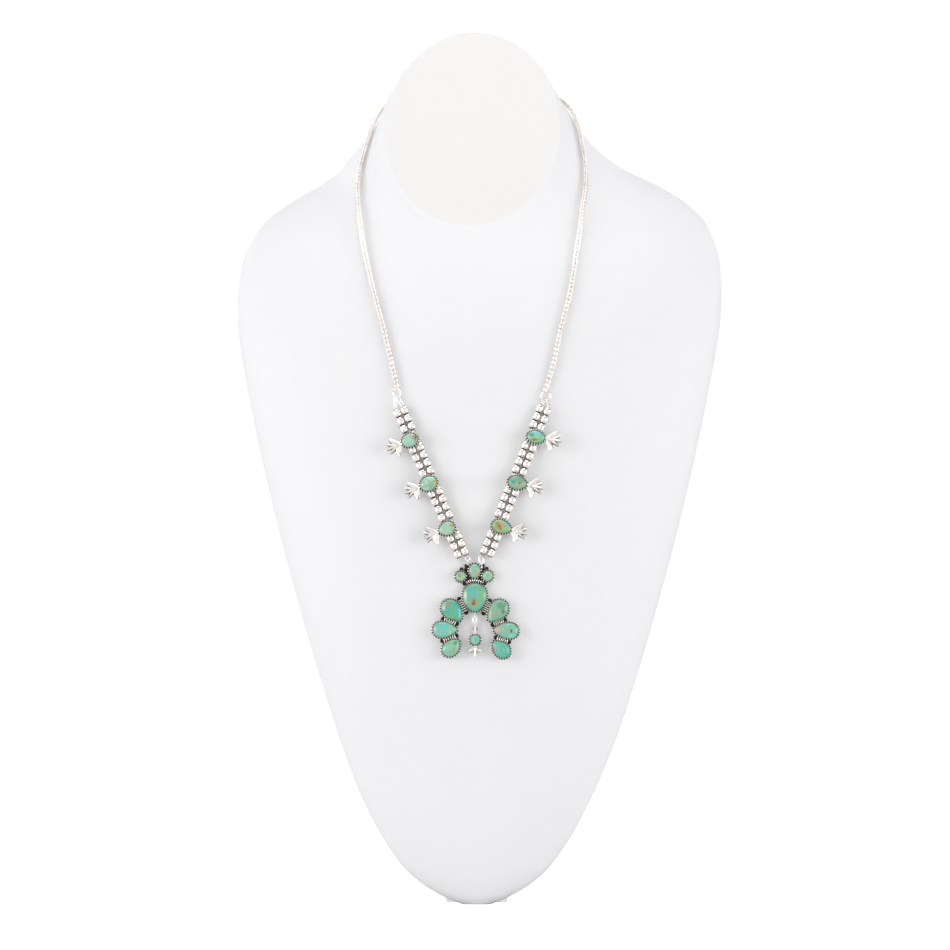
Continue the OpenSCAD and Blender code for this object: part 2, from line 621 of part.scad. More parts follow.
blossom_stone(right_rows, 0);  // blossom_stone_right_1
blossom_stone(right_rows, 1);  // blossom_stone_right_2
blossom_stone(right_rows, 2);  // blossom_stone_right_3
crown_ring(left_rows);  // crown_ring_left
crown_ring(right_rows);  // crown_ring_right
naja();
naja_stone("stone_centre");  // stone_centre
naja_stone("stone_crown");  // stone_crown
naja_stone("stone_crown_left");  // stone_crown_left
naja_stone("stone_crown_right");  // stone_crown_right
naja_stone("stone_upper_left");  // stone_upper_left
naja_stone("stone_upper_right");  // stone_upper_right
naja_stone("stone_middle_left");  // stone_middle_left
naja_stone("stone_middle_right");  // stone_middle_right
naja_stone("stone_lower_left");  // stone_lower_left
naja_stone("stone_lower_right");  // stone_lower_right
drop_ring();
drop_setting();
drop_stone();
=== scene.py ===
# Squash blossom necklace on a plain neck bust: the dressed model. Lengths are in millimetres
import math
import random

import bmesh
import bpy
from mathutils import Matrix, Vector


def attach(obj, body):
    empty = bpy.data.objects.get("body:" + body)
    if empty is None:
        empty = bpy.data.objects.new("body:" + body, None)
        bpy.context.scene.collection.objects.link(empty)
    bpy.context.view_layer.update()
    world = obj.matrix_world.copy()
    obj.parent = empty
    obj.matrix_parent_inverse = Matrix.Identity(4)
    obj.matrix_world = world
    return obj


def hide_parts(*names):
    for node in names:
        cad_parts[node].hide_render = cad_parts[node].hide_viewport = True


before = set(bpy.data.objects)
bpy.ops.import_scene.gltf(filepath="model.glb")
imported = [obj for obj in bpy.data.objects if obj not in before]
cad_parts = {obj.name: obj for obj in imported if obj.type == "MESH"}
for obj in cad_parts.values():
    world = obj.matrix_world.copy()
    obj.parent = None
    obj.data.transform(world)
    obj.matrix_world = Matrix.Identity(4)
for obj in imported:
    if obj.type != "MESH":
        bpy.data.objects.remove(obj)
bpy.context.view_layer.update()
mm = 0.001
body = "root"
signs = {"left": -1, "right": 1}
print("stage: frame loaded,", len(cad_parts), "nodes")

# Camera: square on to the chest from far off. scalePlane is the depth at which frameWidth fills the picture
camera = {
    "aim": (-0.9, 249.4), "distance": 20000, "clipEnd": 60000, "scalePlane": -32, "frameWidth": 550.9,
    "sensor": 36
}


def addObject(name, data):
    made = bpy.data.objects.new(name, data)
    bpy.context.scene.collection.objects.link(made)
    return made


def addCamera():
    data = bpy.data.cameras.new("camera")
    data.sensor_width = camera["sensor"]
    data.lens = camera["sensor"] * (camera["distance"] + camera["scalePlane"]) / camera["frameWidth"]
    data.clip_end = camera["clipEnd"] * mm
    eye = addObject("camera", data)
    eye.location = Vector((camera["aim"][0], -camera["distance"], camera["aim"][1])) * mm
    eye.rotation_euler = (math.radians(90), 0, 0)
    bpy.context.scene.camera = eye


addCamera()
print("stage: camera")

# Neck bust. Section columns: height at the front, height at the back, half width, front, back
bust = {
    "sections": [
        [0, 0, 8, -12, 12], [4, 4, 19, -17, 15], [13, 13, 34, -21, 18], [25, 25, 46, -24.5, 21],
        [48, 48, 60.5, -28, 26], [83, 83, 76, -31, 33], [130, 130, 91.5, -33, 41], [176, 176, 105, -32, 49],
        [223, 223, 117.5, -28, 58], [270, 270, 128.5, -20, 68], [317, 317, 137.5, -9, 82],
        [336, 346, 141, -3, 92], [352, 372, 141, 4.5, 101], [364, 396, 137.5, 11.5, 109],
        [373, 416, 129.5, 17.5, 115], [380, 432, 112, 23, 119], [384.5, 446, 90, 26.5, 121],
        [387, 460, 77.5, 29, 121.5], [389, 474, 67.5, 31, 121.5], [391, 490, 59, 32.5, 120.5],
        [392.5, 501, 53.5, 33.5, 118.5], [394, 508, 49.6, 35, 115]
    ],
    "sides": 128, "steps": 7, "looseFrom": 270, "looseTo": 336, "rim": 0.8, "rimSteps": 4, "cutInset": 4,
    # Uneven shoulders: height, then the shift to the right of the left edge and of the right edge
    "uneven": [
        (0, 1, 1), (300, 1, 1), (330, 1.2, 1.2), (352, 2.6, 1.2), (375, 3.5, 2.3), (392, 5.3, 3.5),
        (404, 6.6, 5.8), (411, 7.6, 6.6), (418, 9, 6), (424, 5.8, 4.4), (432, 2.2, 3.2), (445, 0.6, 1.4),
        (455, 0, 0)
    ],
    # They fade in over these distances from the middle
    "unevenFrom": 64, "unevenTo": 86,
    # The neck leans to the left and widens towards its cut, over these back heights
    "neckFrom": 484, "neckTo": 506, "neckShift": 0.9, "neckLean": 0.03, "neckWiden": 0.028
}
leg = {
    "width": 66, "footWidth": 36, "thickness": 4, "footY": 108, "footDepth": 10, "footHeight": 3,
    "headZ": 236, "gap": 0.35, "edge": 0.9, "edgeSteps": 3
}


def moveTo(x, y, z):
    return Matrix.Translation((x, y, z))


def turnBy(degrees, axis):
    return Matrix.Rotation(math.radians(degrees), 4, axis)


# One column of a table at a height, on straight lines between its rows
def tableAt(table, z, column):
    for a, b in zip(table, table[1:]):
        if z <= b[0]:
            return a[column] + (b[column] - a[column]) * (z - a[0]) / (b[0] - a[0])
    return table[-1][column]


# The chest's front is an ellipse at each height, up to the last level section
def chestAt(z, column):
    return tableAt([s for s in bust["sections"] if s[0] == s[1]], z, column)


def chestY(x, z):
    middle = (chestAt(z, 3) + chestAt(z, 4)) / 2
    return middle - (middle - chestAt(z, 3)) * math.sqrt(1 - (x / chestAt(z, 2)) ** 2)


def smoothShare(value, low, high):
    t = min(max((value - low) / (high - low), 0), 1)
    return t * t * (3 - 2 * t)


def unevenShift(x, z):
    shift = tableAt(bust["uneven"], z, 1 if x < 0 else 2)
    return shift * smoothShare(abs(x), bust["unevenFrom"], bust["unevenTo"])


# Frame that lies on the chest: X across, Y up, Z out
def onChest(x, z, lift=0, roll=0, step=4):
    slopeX = (chestY(x + step, z) - chestY(x - step, z)) / (2 * step)
    slopeZ = (chestY(x, z + step) - chestY(x, z - step)) / (2 * step)
    turn = math.atan(slopeX)
    lean = -math.atan(slopeZ * math.cos(turn))
    return (moveTo(x, chestY(x, z), z) @ Matrix.Rotation(turn, 4, "Z")
            @ Matrix.Rotation(math.radians(90) + lean, 4, "X") @ moveTo(0, 0, lift)
            @ turnBy(roll, "Z"))


# Mesh helpers. Each vertex has a tarnish value: 0 on bright silver, 1 blackened. Mostly it is oxidation in
# recesses; beside the stones inside the bezels, at the bead ends and on the petals' edges it is also painted
# shade, and on the naja's balls a painted dark reflection. On the bust it marks the cut face of the neck
# instead, which gets a painted shade
def newMesh():
    bm = bmesh.new()
    bm.verts.layers.float.new("tarnish")
    return bm


def toMesh(bm, name):
    mesh = bpy.data.meshes.new(name)
    bm.to_mesh(mesh)
    bm.free()
    return mesh


def addPart(bm, part, matrix=Matrix()):
    mesh = part if isinstance(part, bpy.types.Mesh) else toMesh(part, "part")
    start = len(bm.verts)
    bm.from_mesh(mesh)
    bm.verts.ensure_lookup_table()
    bmesh.ops.transform(bm, matrix=matrix, verts=bm.verts[start:])


# Spins a line of points into a closed band, then puts each row and column where place(row, angle) says
def spunBand(rows, columns, place):
    part = newMesh()
    tarnish = part.verts.layers.float["tarnish"]
    line = [part.verts.new((1 + i, 0, 0)) for i in range(rows)]
    edges = [part.edges.new(pair) for pair in zip(line, line[1:])]
    bmesh.ops.spin(part, geom=line + edges, axis=(0, 0, 1), cent=(0, 0, 0), steps=columns, angle=math.tau,
                   use_merge=True)
    for v in part.verts:
        row = round(math.hypot(v.co.x, v.co.y)) - 1
        column = round(math.atan2(v.co.y, v.co.x) / math.tau * columns) % columns
        v.co, v[tarnish] = place(row, column)
    bmesh.ops.remove_doubles(part, verts=part.verts, dist=0.0005)
    bmesh.ops.recalc_face_normals(part, faces=part.faces)
    return part


# A turned part: each row is radius, height and the tarnish value, which on the beads also carries painted
# shade
def turned(rows, columns=28):
    def place(row, column):
        r, h, dark = rows[row]
        a = math.tau * column / columns
        return Vector((r * math.cos(a), r * math.sin(a), h)), dark
    return spunBand(len(rows), columns, place)


def wire(points, radius, closed=False, sides=3):
    curve = bpy.data.curves.new("wire", "CURVE")
    curve.dimensions = "3D"
    curve.bevel_depth = radius
    curve.bevel_resolution = sides
    curve.use_fill_caps = True
    spline = curve.splines.new("POLY")
    spline.points.add(len(points) - 1)
    for p, q in zip(spline.points, points):
        p.co = (*q, 1)
    spline.use_cyclic_u = closed
    holder = bpy.data.objects.new("wire", curve)
    mesh = bpy.data.meshes.new_from_object(holder)
    bpy.data.objects.remove(holder)
    return mesh


def ringPoints(r, count=40, start=0, sweep=360):
    closed = sweep == 360
    steps = count if closed else count - 1
    return [Vector((r * math.cos(math.radians(start + sweep * i / steps)),
                    r * math.sin(math.radians(start + sweep * i / steps)), 0)) for i in range(count)]


# Frame at p with X towards q
def frameTowards(p, q):
    run = Vector(q) - Vector(p)
    return moveTo(*p, 0) @ Matrix.Rotation(math.atan2(run.y, run.x), 4, "Z")


# The outline of a slot from p to q, with round ends
def ovalPoints(p, q, r, count=16):
    run = (Vector(q) - Vector(p)).length
    far = [v + Vector((run, 0, 0)) for v in ringPoints(r, count, -90, 180)]
    return [frameTowards(p, q) @ v for v in ringPoints(r, count, 90, 180) + far]


def eyePart(r, wireR):
    return wire(ringPoints(r, 24), wireR, True)


def boxPart(x, y, z):
    part = newMesh()
    bmesh.ops.create_cube(part, size=1, matrix=Matrix.Diagonal((x, y, z, 1)))
    return part


def roundEdges(bm, edges, width, steps=2):
    bmesh.ops.bevel(bm, geom=edges, offset=width, segments=steps, profile=0.5, affect="EDGES", material=-1)


def movedVerts(made):
    return [v for v in made["geom"] if isinstance(v, bmesh.types.BMVert)]


def camelName(node):
    words = node.split("_")
    return words[0] + "".join(w.title() for w in words[1:])


# Turns a finished bmesh into the object that stands for a CAD node. Sharper edges than smooth stay sharp
def finishPiece(bm, node, material, smooth=35):
    for e in bm.edges:
        e.smooth = len(e.link_faces) == 2 and e.calc_face_angle(0) < math.radians(smooth)
    for f in bm.faces:
        f.smooth = True
    name = camelName(node)
    mesh = toMesh(bm, name)
    mesh.transform(Matrix.Scale(mm, 4))
    mesh.materials.append(material)
    piece = addObject(name, mesh)
    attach(piece, body)
    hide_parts(node)


# Materials
def tint(code):
    parts = [int(code[i:i + 2], 16) / 255 for i in (1, 3, 5)]
    return [c / 12.92 if c <= 0.04045 else ((c + 0.055) / 1.055) ** 2.4 for c in parts] + [1]


def newGroup(name, inputs, outputs):
    group = bpy.data.node_groups.new(name, "ShaderNodeTree")
    for direction, sockets in (("INPUT", inputs), ("OUTPUT", outputs)):
        for socket, kind in sockets:
            group.interface.new_socket(socket, in_out=direction, socket_type="NodeSocket" + kind)
    return group, group.nodes.new("NodeGroupInput"), group.nodes.new("NodeGroupOutput")


# Fills a node's inputs, by name or as i0, i1: a socket makes a link, anything else is a value
def plugIn(tree, node, **inputs):
    for key, value in inputs.items():
        numbered = key[0] == "i" and key[1:].isdigit()
        socket = node.inputs[int(key[1:]) if numbered else key.replace("_", " ")]
        if isinstance(value, bpy.types.NodeSocket):
            tree.links.new(value, socket)
        else:
            socket.default_value = value


def addNode(tree, kind, fields=None, **inputs):
    node = tree.nodes.new("ShaderNode" + kind)
    for key, value in (fields or {}).items():
        setattr(node, key, value)
    plugIn(tree, node, **inputs)
    return node


def noiseNode(tree, vector, scale, detail=3, roughness=0.5):
    return addNode(tree, "TexNoise", Vector=vector, Scale=scale, Detail=detail,
                   Roughness=roughness).outputs[0]


def mathNode(tree, operation, *values):
    inputs = {"i%d" % i: value for i, value in enumerate(values)}
    return addNode(tree, "Math", {"operation": operation}, **inputs).outputs[0]


def vectorNode(tree, operation, *values):
    inputs = {"i%d" % i: value for i, value in enumerate(values)}
    return addNode(tree, "VectorMath", {"operation": operation}, **inputs).outputs


def rangeNode(tree, value, low, high, toLow=0.0, toHigh=1.0):
    return addNode(tree, "MapRange", {"interpolation_type": "SMOOTHSTEP"}, Value=value, From_Min=low,
                   From_Max=high, To_Min=toLow, To_Max=toHigh).outputs[0]


def mixColor(tree, share, a, b):
    return addNode(tree, "Mix", {"data_type": "RGBA"}, i0=share, i6=a, i7=b).outputs[2]


def bumpNode(tree, strength, depth, height, **inputs):
    return addNode(tree, "Bump", Strength=strength, Distance=depth * mm, Height=height, **inputs).outputs[0]


def tarnishAndPaintedDarkNode(tree):
    return addNode(tree, "Attribute", {"attribute_name": "tarnish"}).outputs["Fac"]


def newMaterial(name):
    material = bpy.data.materials.new(name)
    material.use_nodes = True
    tree = material.node_tree
    return material, tree, tree.nodes["Principled BSDF"], addNode(tree, "TexCoord").outputs["Object"]


silverLook = {
    "bright": "#F7F3EF", "warm": "#E6DAD1", "black": "#28170F", "polish": 0.17, "worn": 0.33, "sooty": 0.6,
    # Noise scales, per metre: the frayed edge of the soot and painted dark, places rubbed duller or warmer,
    # and small dents
    "frayScale": 1400, "rubScale": 500, "dentScale": 900, "rubSpan": (0.35, 0.75), "warmSpan": (0.4, 0.8),
    "fray": 0.5, "darkFrom": 0.3, "darkTo": 0.8, "metalLoss": 0.7, "dentDepth": 0.2, "dents": 0.03,
    "chainDents": 0.01
}
leatherLook = {
    # The cut colour is a painted shade, a little darker, for the neck's cut face
    "face": "#F1F1F2", "grain": "#EDEDEF", "cut": "#ECEBEA", "grainSize": 0.75, "crease": 0.16, "polish": 0.5,
    "creasePolish": 0.12, "warpScale": 900, "warp": 0.6, "mottleScale": 45, "mottle": 0.75, "grainBump": 0.12,
    "grainDepth": 0.12, "softBump": 0.1, "softDepth": 1.5
}


# Silver wear: where the soot, painted shade and painted dark reflection sit, how rough the metal is, and its
# small dents
def makeWearGroup():
    group, given, made = newGroup("silverWear", [("Vector", "Vector"), ("Tarnish", "Float")], [
        ("Soot", "Float"), ("Warmth", "Float"), ("Roughness", "Float"), ("Height", "Float")])
    vector, tarnish = given.outputs[:2]
    fray = silverLook["fray"]
    edge = noiseNode(group, vector, silverLook["frayScale"], 4)
    edge = mathNode(group, "MULTIPLY_ADD", edge, fray, -fray / 2)
    soot = mathNode(group, "ADD", tarnish, edge)
    soot = rangeNode(group, soot, silverLook["darkFrom"], silverLook["darkTo"])
    rub = noiseNode(group, vector, silverLook["rubScale"])
    polish = rangeNode(group, rub, *silverLook["rubSpan"], silverLook["polish"], silverLook["worn"])
    rough = addNode(group, "MapRange", Value=soot, To_Min=polish, To_Max=silverLook["sooty"]).outputs[0]
    plugIn(group, made, Soot=soot, Warmth=rangeNode(group, rub, *silverLook["warmSpan"]), Roughness=rough,
           Height=noiseNode(group, vector, silverLook["dentScale"], 2))
    return group


def makeSilver(name, dents):
    material, tree, shader, place = newMaterial(name)
    wear = addNode(tree, "Group", {"node_tree": wearGroup}, Vector=place, Tarnish=tarnishAndPaintedDarkNode(tree)).outputs
    metal = mixColor(tree, wear["Warmth"], tint(silverLook["bright"]), tint(silverLook["warm"]))
    plugIn(tree, shader, Base_Color=mixColor(tree, wear["Soot"], metal, tint(silverLook["black"])),
           Metallic=mathNode(tree, "MULTIPLY_ADD", wear["Soot"], -silverLook["metalLoss"], 1.0),
           Roughness=wear["Roughness"], Normal=bumpNode(tree, dents, silverLook["dentDepth"], wear["Height"]))
    return material


# White leatherette: a fine cell grain with paler and greyer places, and a painted shade, a little darker, on
# the face where the neck is cut
def makeLeather():
    look = leatherLook
    material, tree, shader, place = newMaterial("leatherette")
    warped = vectorNode(tree, "MULTIPLY_ADD", noiseNode(tree, place, look["warpScale"], 2),
                        (look["warp"] * mm,) * 3, place)[0]
    cells = addNode(tree, "TexVoronoi", {"feature": "DISTANCE_TO_EDGE"}, Vector=warped,
                    Scale=1 / (look["grainSize"] * mm)).outputs["Distance"]
    crease = rangeNode(tree, cells, 0.0, look["crease"])
    soft = noiseNode(tree, place, look["mottleScale"])
    pale = mathNode(tree, "MULTIPLY", crease, rangeNode(tree, soft, 0.3, 0.7, look["mottle"], 1.0))
    face = mixColor(tree, pale, tint(look["grain"]), tint(look["face"]))
    grain = bumpNode(tree, look["grainBump"], look["grainDepth"], crease)
    plugIn(tree, shader, Base_Color=mixColor(tree, tarnishAndPaintedDarkNode(tree), face, tint(look["cut"])),
           Roughness=rangeNode(tree, crease, 0, 1, look["polish"] + look["creasePolish"], look["polish"]),
           Normal=bumpNode(tree, look["softBump"], look["softDepth"], soft, Normal=grain))
    return material


stoneLook = {
    # Noise scales, per millimetre, and where each colour begins, where it is full and how strong it gets
    "broadScale": 0.16, "fineScale": 0.55, "speckScale": 2.6,
    "broadSpan": (0.42, 0.62, 1), "fineSpan": (0.5, 0.78, 0.75), "speckSpan": (0.62, 0.8, 0.35),
    # A spot's strength, its ragged edge, and where it fades out and is full, in shares of its half size
    "strength": 0.9, "ragged": 1.3, "spotEnd": 1.35, "spotFull": 0.45,
    "seedStep": 13.0, "polish": 0.16, "coat": 0.25, "coatPolish": 0.06, "bump": 0.05, "bumpDepth": 0.1
}


# Turquoise groups: clouds of three colours, and one spot of matrix
def makeStoneGroups():
    clouds, given, made = newGroup(
        "turquoiseClouds", [("Vector", "Vector"), ("Body", "Color"), ("Cloud", "Color"), ("Pale", "Color")],
        [("Color", "Color"), ("Height", "Float")])
    vector, base, cloud, pale = given.outputs[:4]
    broad = noiseNode(clouds, vector, stoneLook["broadScale"], 4, 0.55)
    fine = noiseNode(clouds, vector, stoneLook["fineScale"], 5, 0.6)
    speck = noiseNode(clouds, vector, stoneLook["speckScale"], 3, 0.6)
    tone = base
    layers = ((broad, "broadSpan", cloud), (fine, "fineSpan", pale), (speck, "speckSpan", base))
    for noise, span, color in layers:
        low, high, most = stoneLook[span]
        tone = mixColor(clouds, rangeNode(clouds, noise, low, high, 0, most), tone, color)
    plugIn(clouds, made, Color=tone, Height=fine)
    spot, given, made = newGroup(
        "matrixSpot", [("Vector", "Vector"), ("Place", "Vector"), ("Stretch", "Vector"), ("Ragged", "Float")],
        [("Mask", "Float")])
    vector, place, stretch, ragged = given.outputs[:4]
    away = vectorNode(spot, "MULTIPLY", vectorNode(spot, "SUBTRACT", vector, place)[0], stretch)[0]
    edge = mathNode(spot, "SUBTRACT", noiseNode(spot, vector, stoneLook["fineScale"], 5, 0.6), 0.5)
    reach = mathNode(spot, "MULTIPLY_ADD", edge, ragged, vectorNode(spot, "LENGTH", away)["Value"])
    plugIn(spot, made, Mask=rangeNode(spot, reach, stoneLook["spotEnd"], stoneLook["spotFull"]))
    return clouds, spot


# A stone's look: body, cloud and pale colour, seed, and its spots of matrix. Spots are x, height, half width,
# half height and colour, from the stone's middle
def makeStone(name, look, middle):
    base, cloud, pale, seed, spots = look
    material, tree, shader, place = newMaterial(name)
    local = addNode(tree, "Mapping", Vector=place, Location=[-c / mm for c in middle],
                    Scale=(1 / mm,) * 3).outputs[0]
    seeded = addNode(tree, "Mapping", Vector=local, Location=(seed * stoneLook["seedStep"], 0, 0)).outputs[0]
    tone = addNode(tree, "Group", {"node_tree": cloudGroup}, Vector=seeded, Body=tint(base),
                   Cloud=tint(cloud), Pale=tint(pale)).outputs
    color = tone["Color"]
    for x, z, wide, high, code in spots:
        mask = addNode(tree, "Group", {"node_tree": spotGroup}, Vector=local, Place=(x, 0, z),
                       Stretch=(1 / wide, 0, 1 / high), Ragged=stoneLook["ragged"]).outputs["Mask"]
        color = mixColor(tree, mathNode(tree, "MULTIPLY", mask, stoneLook["strength"]), color, tint(code))
    plugIn(tree, shader, Base_Color=color, Roughness=stoneLook["polish"], Coat_Weight=stoneLook["coat"],
           Coat_Roughness=stoneLook["coatPolish"],
           Normal=bumpNode(tree, stoneLook["bump"], stoneLook["bumpDepth"], tone["Height"]))
    return material


wearGroup = makeWearGroup()
cloudGroup, spotGroup = makeStoneGroups()
silver = makeSilver("silverPolished", silverLook["dents"])
chainSilver = makeSilver("silverChain", silverLook["chainDents"])
leather = makeLeather()
print("stage: materials")


# Dense sections. Up the chest the curve touches the middle of each span, so that it never comes in front
# of the straight spans that carry the necklace; above, it passes through every section
def bustRings():
    rows = [Vector(s) for s in bust["sections"]]
    rows = [2 * rows[0] - rows[1]] + rows + [2 * rows[-1] - rows[-2]]
    rings = []
    for a, b, c, d in zip(rows, rows[1:], rows[2:], rows[3:]):
        before, span, after = (b - a).length, (c - b).length, (d - c).length
        leave = ((b - a) * span / before + (c - b) * before / span) / (before + span)
        arrive = ((c - b) * after / span + (d - c) * span / after) / (span + after)
        for k in range(1 if len(rings) > bust["steps"] * (len(rows) - 5) else bust["steps"]):
            t = k / bust["steps"]
            through = (b * (1 + 2 * t) * (1 - t) ** 2 + c * t * t * (3 - 2 * t)
                       + (leave * (1 - t) - arrive * t) * span * t * (1 - t))
            s, (p, q, r) = (t + 0.5, (a, b, c)) if t < 0.5 else (t - 0.5, (b, c, d))
            inside = p * (1 - s) ** 2 / 2 + q * (0.5 + s - s * s) + r * s * s / 2
            loose = (b[0] + (c[0] - b[0]) * t - bust["looseFrom"]) / (bust["looseTo"] - bust["looseFrom"])
            rings.append(inside + (through - inside) * min(max(loose, 0), 1))
    return rings + [rows[-2]]


# Neck bust: one circle for each section, bridged and capped, with a rounded rim round the cut of the neck
def makeBust():
    bm = newMesh()
    tarnish = bm.verts.layers.float["tarnish"]
    loops = []
    for frontZ, backZ, half, front, back in bustRings():
        ring = bmesh.ops.create_circle(bm, segments=bust["sides"], radius=1)["verts"]
        for v in ring:
            a = math.atan2(v.co.y, v.co.x)
            v.co = (half * math.cos(a), (front + back) / 2 + (back - front) / 2 * math.sin(a),
                    (frontZ + backZ) / 2 + (backZ - frontZ) / 2 * math.sin(a))
            neck = smoothShare(backZ, bust["neckFrom"], bust["neckTo"])
            lean = bust["neckShift"] + bust["neckLean"] * (bust["sections"][-1][1] - v.co.z)
            v.co.x += unevenShift(v.co.x, v.co.z) + neck * (bust["neckWiden"] * v.co.x - lean)
        loops.append(list({e for v in ring for e in v.link_edges}))
    for low, high in zip(loops, loops[1:]):
        bmesh.ops.bridge_loops(bm, edges=low + high)
    bmesh.ops.contextual_create(bm, geom=loops[0])
    rim = bmesh.ops.contextual_create(bm, geom=loops[-1])["faces"][0].edges[:]
    roundEdges(bm, rim, bust["rim"], bust["rimSteps"])
    caps = [f for f in bm.faces if len(f.verts) == bust["sides"]]
    # The top cap is the cut face, marked for the leatherette's painted shade
    for v in max(caps, key=lambda f: f.calc_center_median().z).verts:
        v[tarnish] = 1
    bmesh.ops.inset_individual(bm, faces=caps, thickness=bust["cutInset"])
    bmesh.ops.poke(bm, faces=caps)
    bmesh.ops.recalc_face_normals(bm, faces=bm.faces)
    finishPiece(bm, "neck_bust", leather, 180)


def makeLeg():
    bm = newMesh()
    headY = chestAt(leg["headZ"], 4) + leg["gap"]
    footEnd = leg["footY"] + leg["footDepth"]
    profile = [(leg["footY"], 0), (footEnd, 0), (footEnd, leg["footHeight"]),
               (headY + leg["thickness"], leg["headZ"]), (headY, leg["headZ"])]
    side = bm.faces.new([bm.verts.new((-leg["width"] / 2, y, z)) for y, z in profile])
    made = bmesh.ops.extrude_face_region(bm, geom=[side])
    bmesh.ops.translate(bm, vec=(leg["width"], 0, 0), verts=movedVerts(made))
    for v in bm.verts:
        width = leg["footWidth"] + (leg["width"] - leg["footWidth"]) * v.co.z / leg["headZ"]
        v.co.x *= width / leg["width"]
    bmesh.ops.recalc_face_normals(bm, faces=bm.faces)
    roundEdges(bm, list(bm.edges), leg["edge"], leg["edgeSteps"])
    finishPiece(bm, "bust_leg", leather, 50)


makeBust()
makeLeg()
print("stage: bust")

# Chains. Routes run from the front rings, up over the shoulders and round behind the neck
chain = {
    "left": [
        (-46, -12.5, 300), (-47.5, -10.5, 307), (-50, -7.5, 318), (-54, -2, 335), (-58.5, 6, 352),
        (-62.5, 16, 368), (-65.5, 26, 381.5), (-67.5, 37.5, 393.5), (-69, 49, 405), (-69.5, 60, 416.5),
        (-68, 70, 428), (-65, 79, 439.5), (-61, 89, 452), (-55.5, 99, 462.5), (-46, 110.5, 470),
        (-33, 117, 475.5), (-21, 121.5, 479), (-10, 123.5, 481)
    ],
    "right": [
        (40, -13.1, 299), (42.4, -11.1, 306.5), (45.5, -8, 318), (49, -2.5, 335), (53.5, 5.5, 352),
        (56.5, 15, 368), (58.5, 25.5, 381.5), (60.5, 36.5, 393.5), (62, 47.5, 405.5), (63.5, 58.5, 417.5),
        (63.5, 68, 430), (61.5, 77, 442), (59, 87.5, 454.5), (54, 98, 464.5), (45.5, 109.5, 470.5),
        (33.5, 117, 475.5), (21, 121.5, 479), (10, 123.5, 481)
    ],
    "link": 2.8, "wire": 0.68, "pitch": 1.4, "oval": 1.2, "lean": 36, "soot": 0.3, "columns": 18, "sides": 8,
    # The links face out from the neck's axis, less so on the chest, where x has the least share
    "axisY": 75, "turnFrom": 345, "turnTo": 430, "leastTurn": 0.2, "eye": 1, "eyeWire": 0.3, "play": 0.15
}


def curvePoint(points, u):
    i = min(int(u), len(points) - 2)
    t = u - i
    a, b, c, d = (points[max(i - 1, 0)], points[i], points[i + 1], points[min(i + 2, len(points) - 1)])
    bend, twist = 2 * a - 5 * b + 4 * c - d, 3 * b - a - 3 * c + d
    return 0.5 * (2 * b + (c - a) * t + bend * t * t + twist * t * t * t)


# Points an even step apart along a route, with the direction at each
def evenSteps(route, step, fine=1200):
    points = [Vector(p) for p in route]
    dense = [curvePoint(points, i * (len(points) - 1) / fine) for i in range(fine + 1)]
    length = sum((b - a).length for a, b in zip(dense, dense[1:]))
    count = round(length / step)
    places, gone, k = [], 0, 0
    for a, b in zip(dense, dense[1:]):
        piece = (b - a).length
        while k <= count and k * length / count <= gone + piece + 1e-6:
            places.append((a.lerp(b, (k * length / count - gone) / piece), (b - a).normalized()))
            k += 1
        gone += piece
    return places


def linkMesh():
    part = newMesh()
    tarnish = part.verts.layers.float["tarnish"]
    wireR = chain["wire"] / 2
    ringR = chain["link"] / 2 - wireR
    bmesh.ops.create_circle(part, segments=chain["sides"], radius=wireR,
                            matrix=moveTo(ringR, 0, 0) @ turnBy(90, "X"))
    bmesh.ops.spin(part, geom=part.verts[:] + part.edges[:], axis=(0, 0, 1), cent=(0, 0, 0),
                   steps=chain["columns"], angle=math.tau, use_merge=True)
    bmesh.ops.recalc_face_normals(part, faces=part.faces)
    for v in part.verts:
        inward = (ringR - math.hypot(v.co.x, v.co.y)) / wireR
        v[tarnish] = max(0, inward) * chain["soot"]
        v.co.y *= chain["oval"]
    return toMesh(part, "link")


# Jump rings, with the turn and the lift of each
jump = {"outer": 6.3, "wire": 0.8, "slit": 7, "slitAt": 120, "left": (48, 3.1), "right": (0, 2.1)}
jumpR = (jump["outer"] - jump["wire"]) / 2


# Middle of the ring that hangs below a chain's end, and its frame
def jumpMiddle(side):
    x, y, z = chain[side][0]
    return x, z - jumpR - chain["eye"] - chain["play"]


def jumpFrame(side):
    turn, lift = jump[side]
    return onChest(*jumpMiddle(side), lift) @ turnBy(-signs[side] * turn, "Y")


def makeChain(side):
    bm = newMesh()
    link = linkMesh()
    for k, (place, ahead) in enumerate(evenSteps(chain[side], chain["pitch"])):
        share = (place.z - chain["turnFrom"]) / (chain["turnTo"] - chain["turnFrom"])
        share = min(1, max(chain["leastTurn"], share))
        out = Vector((place.x * share, place.y - chain["axisY"], 0)).normalized()
        across = ahead.cross(out).normalized()
        up = across.cross(ahead)
        frameHere = Matrix((ahead, across, up)).transposed().to_4x4()
        frameHere.translation = place
        addPart(bm, link, frameHere @ turnBy(chain["lean"] * (1 if k % 2 else -1), "X"))
    eye = eyePart(chain["eye"], chain["eyeWire"])
    addPart(bm, eye, jumpFrame(side) @ moveTo(0, jumpR + chain["play"], 0) @ turnBy(90, "Y"))
    addPart(bm, eye, Matrix.Translation(Vector(chain[side][-1]) - Vector((signs[side] * chain["eye"], 0, 0))))
    finishPiece(bm, "chain_" + side, chainSilver, 60)


def makeJumpRing(side):
    bm = newMesh()
    ring = ringPoints(jumpR, 48, jump["slitAt"], 360 - jump["slit"])
    addPart(bm, wire(ring, jump["wire"] / 2, sides=5), jumpFrame(side))
    finishPiece(bm, "jump_ring_" + side, silver, 50)


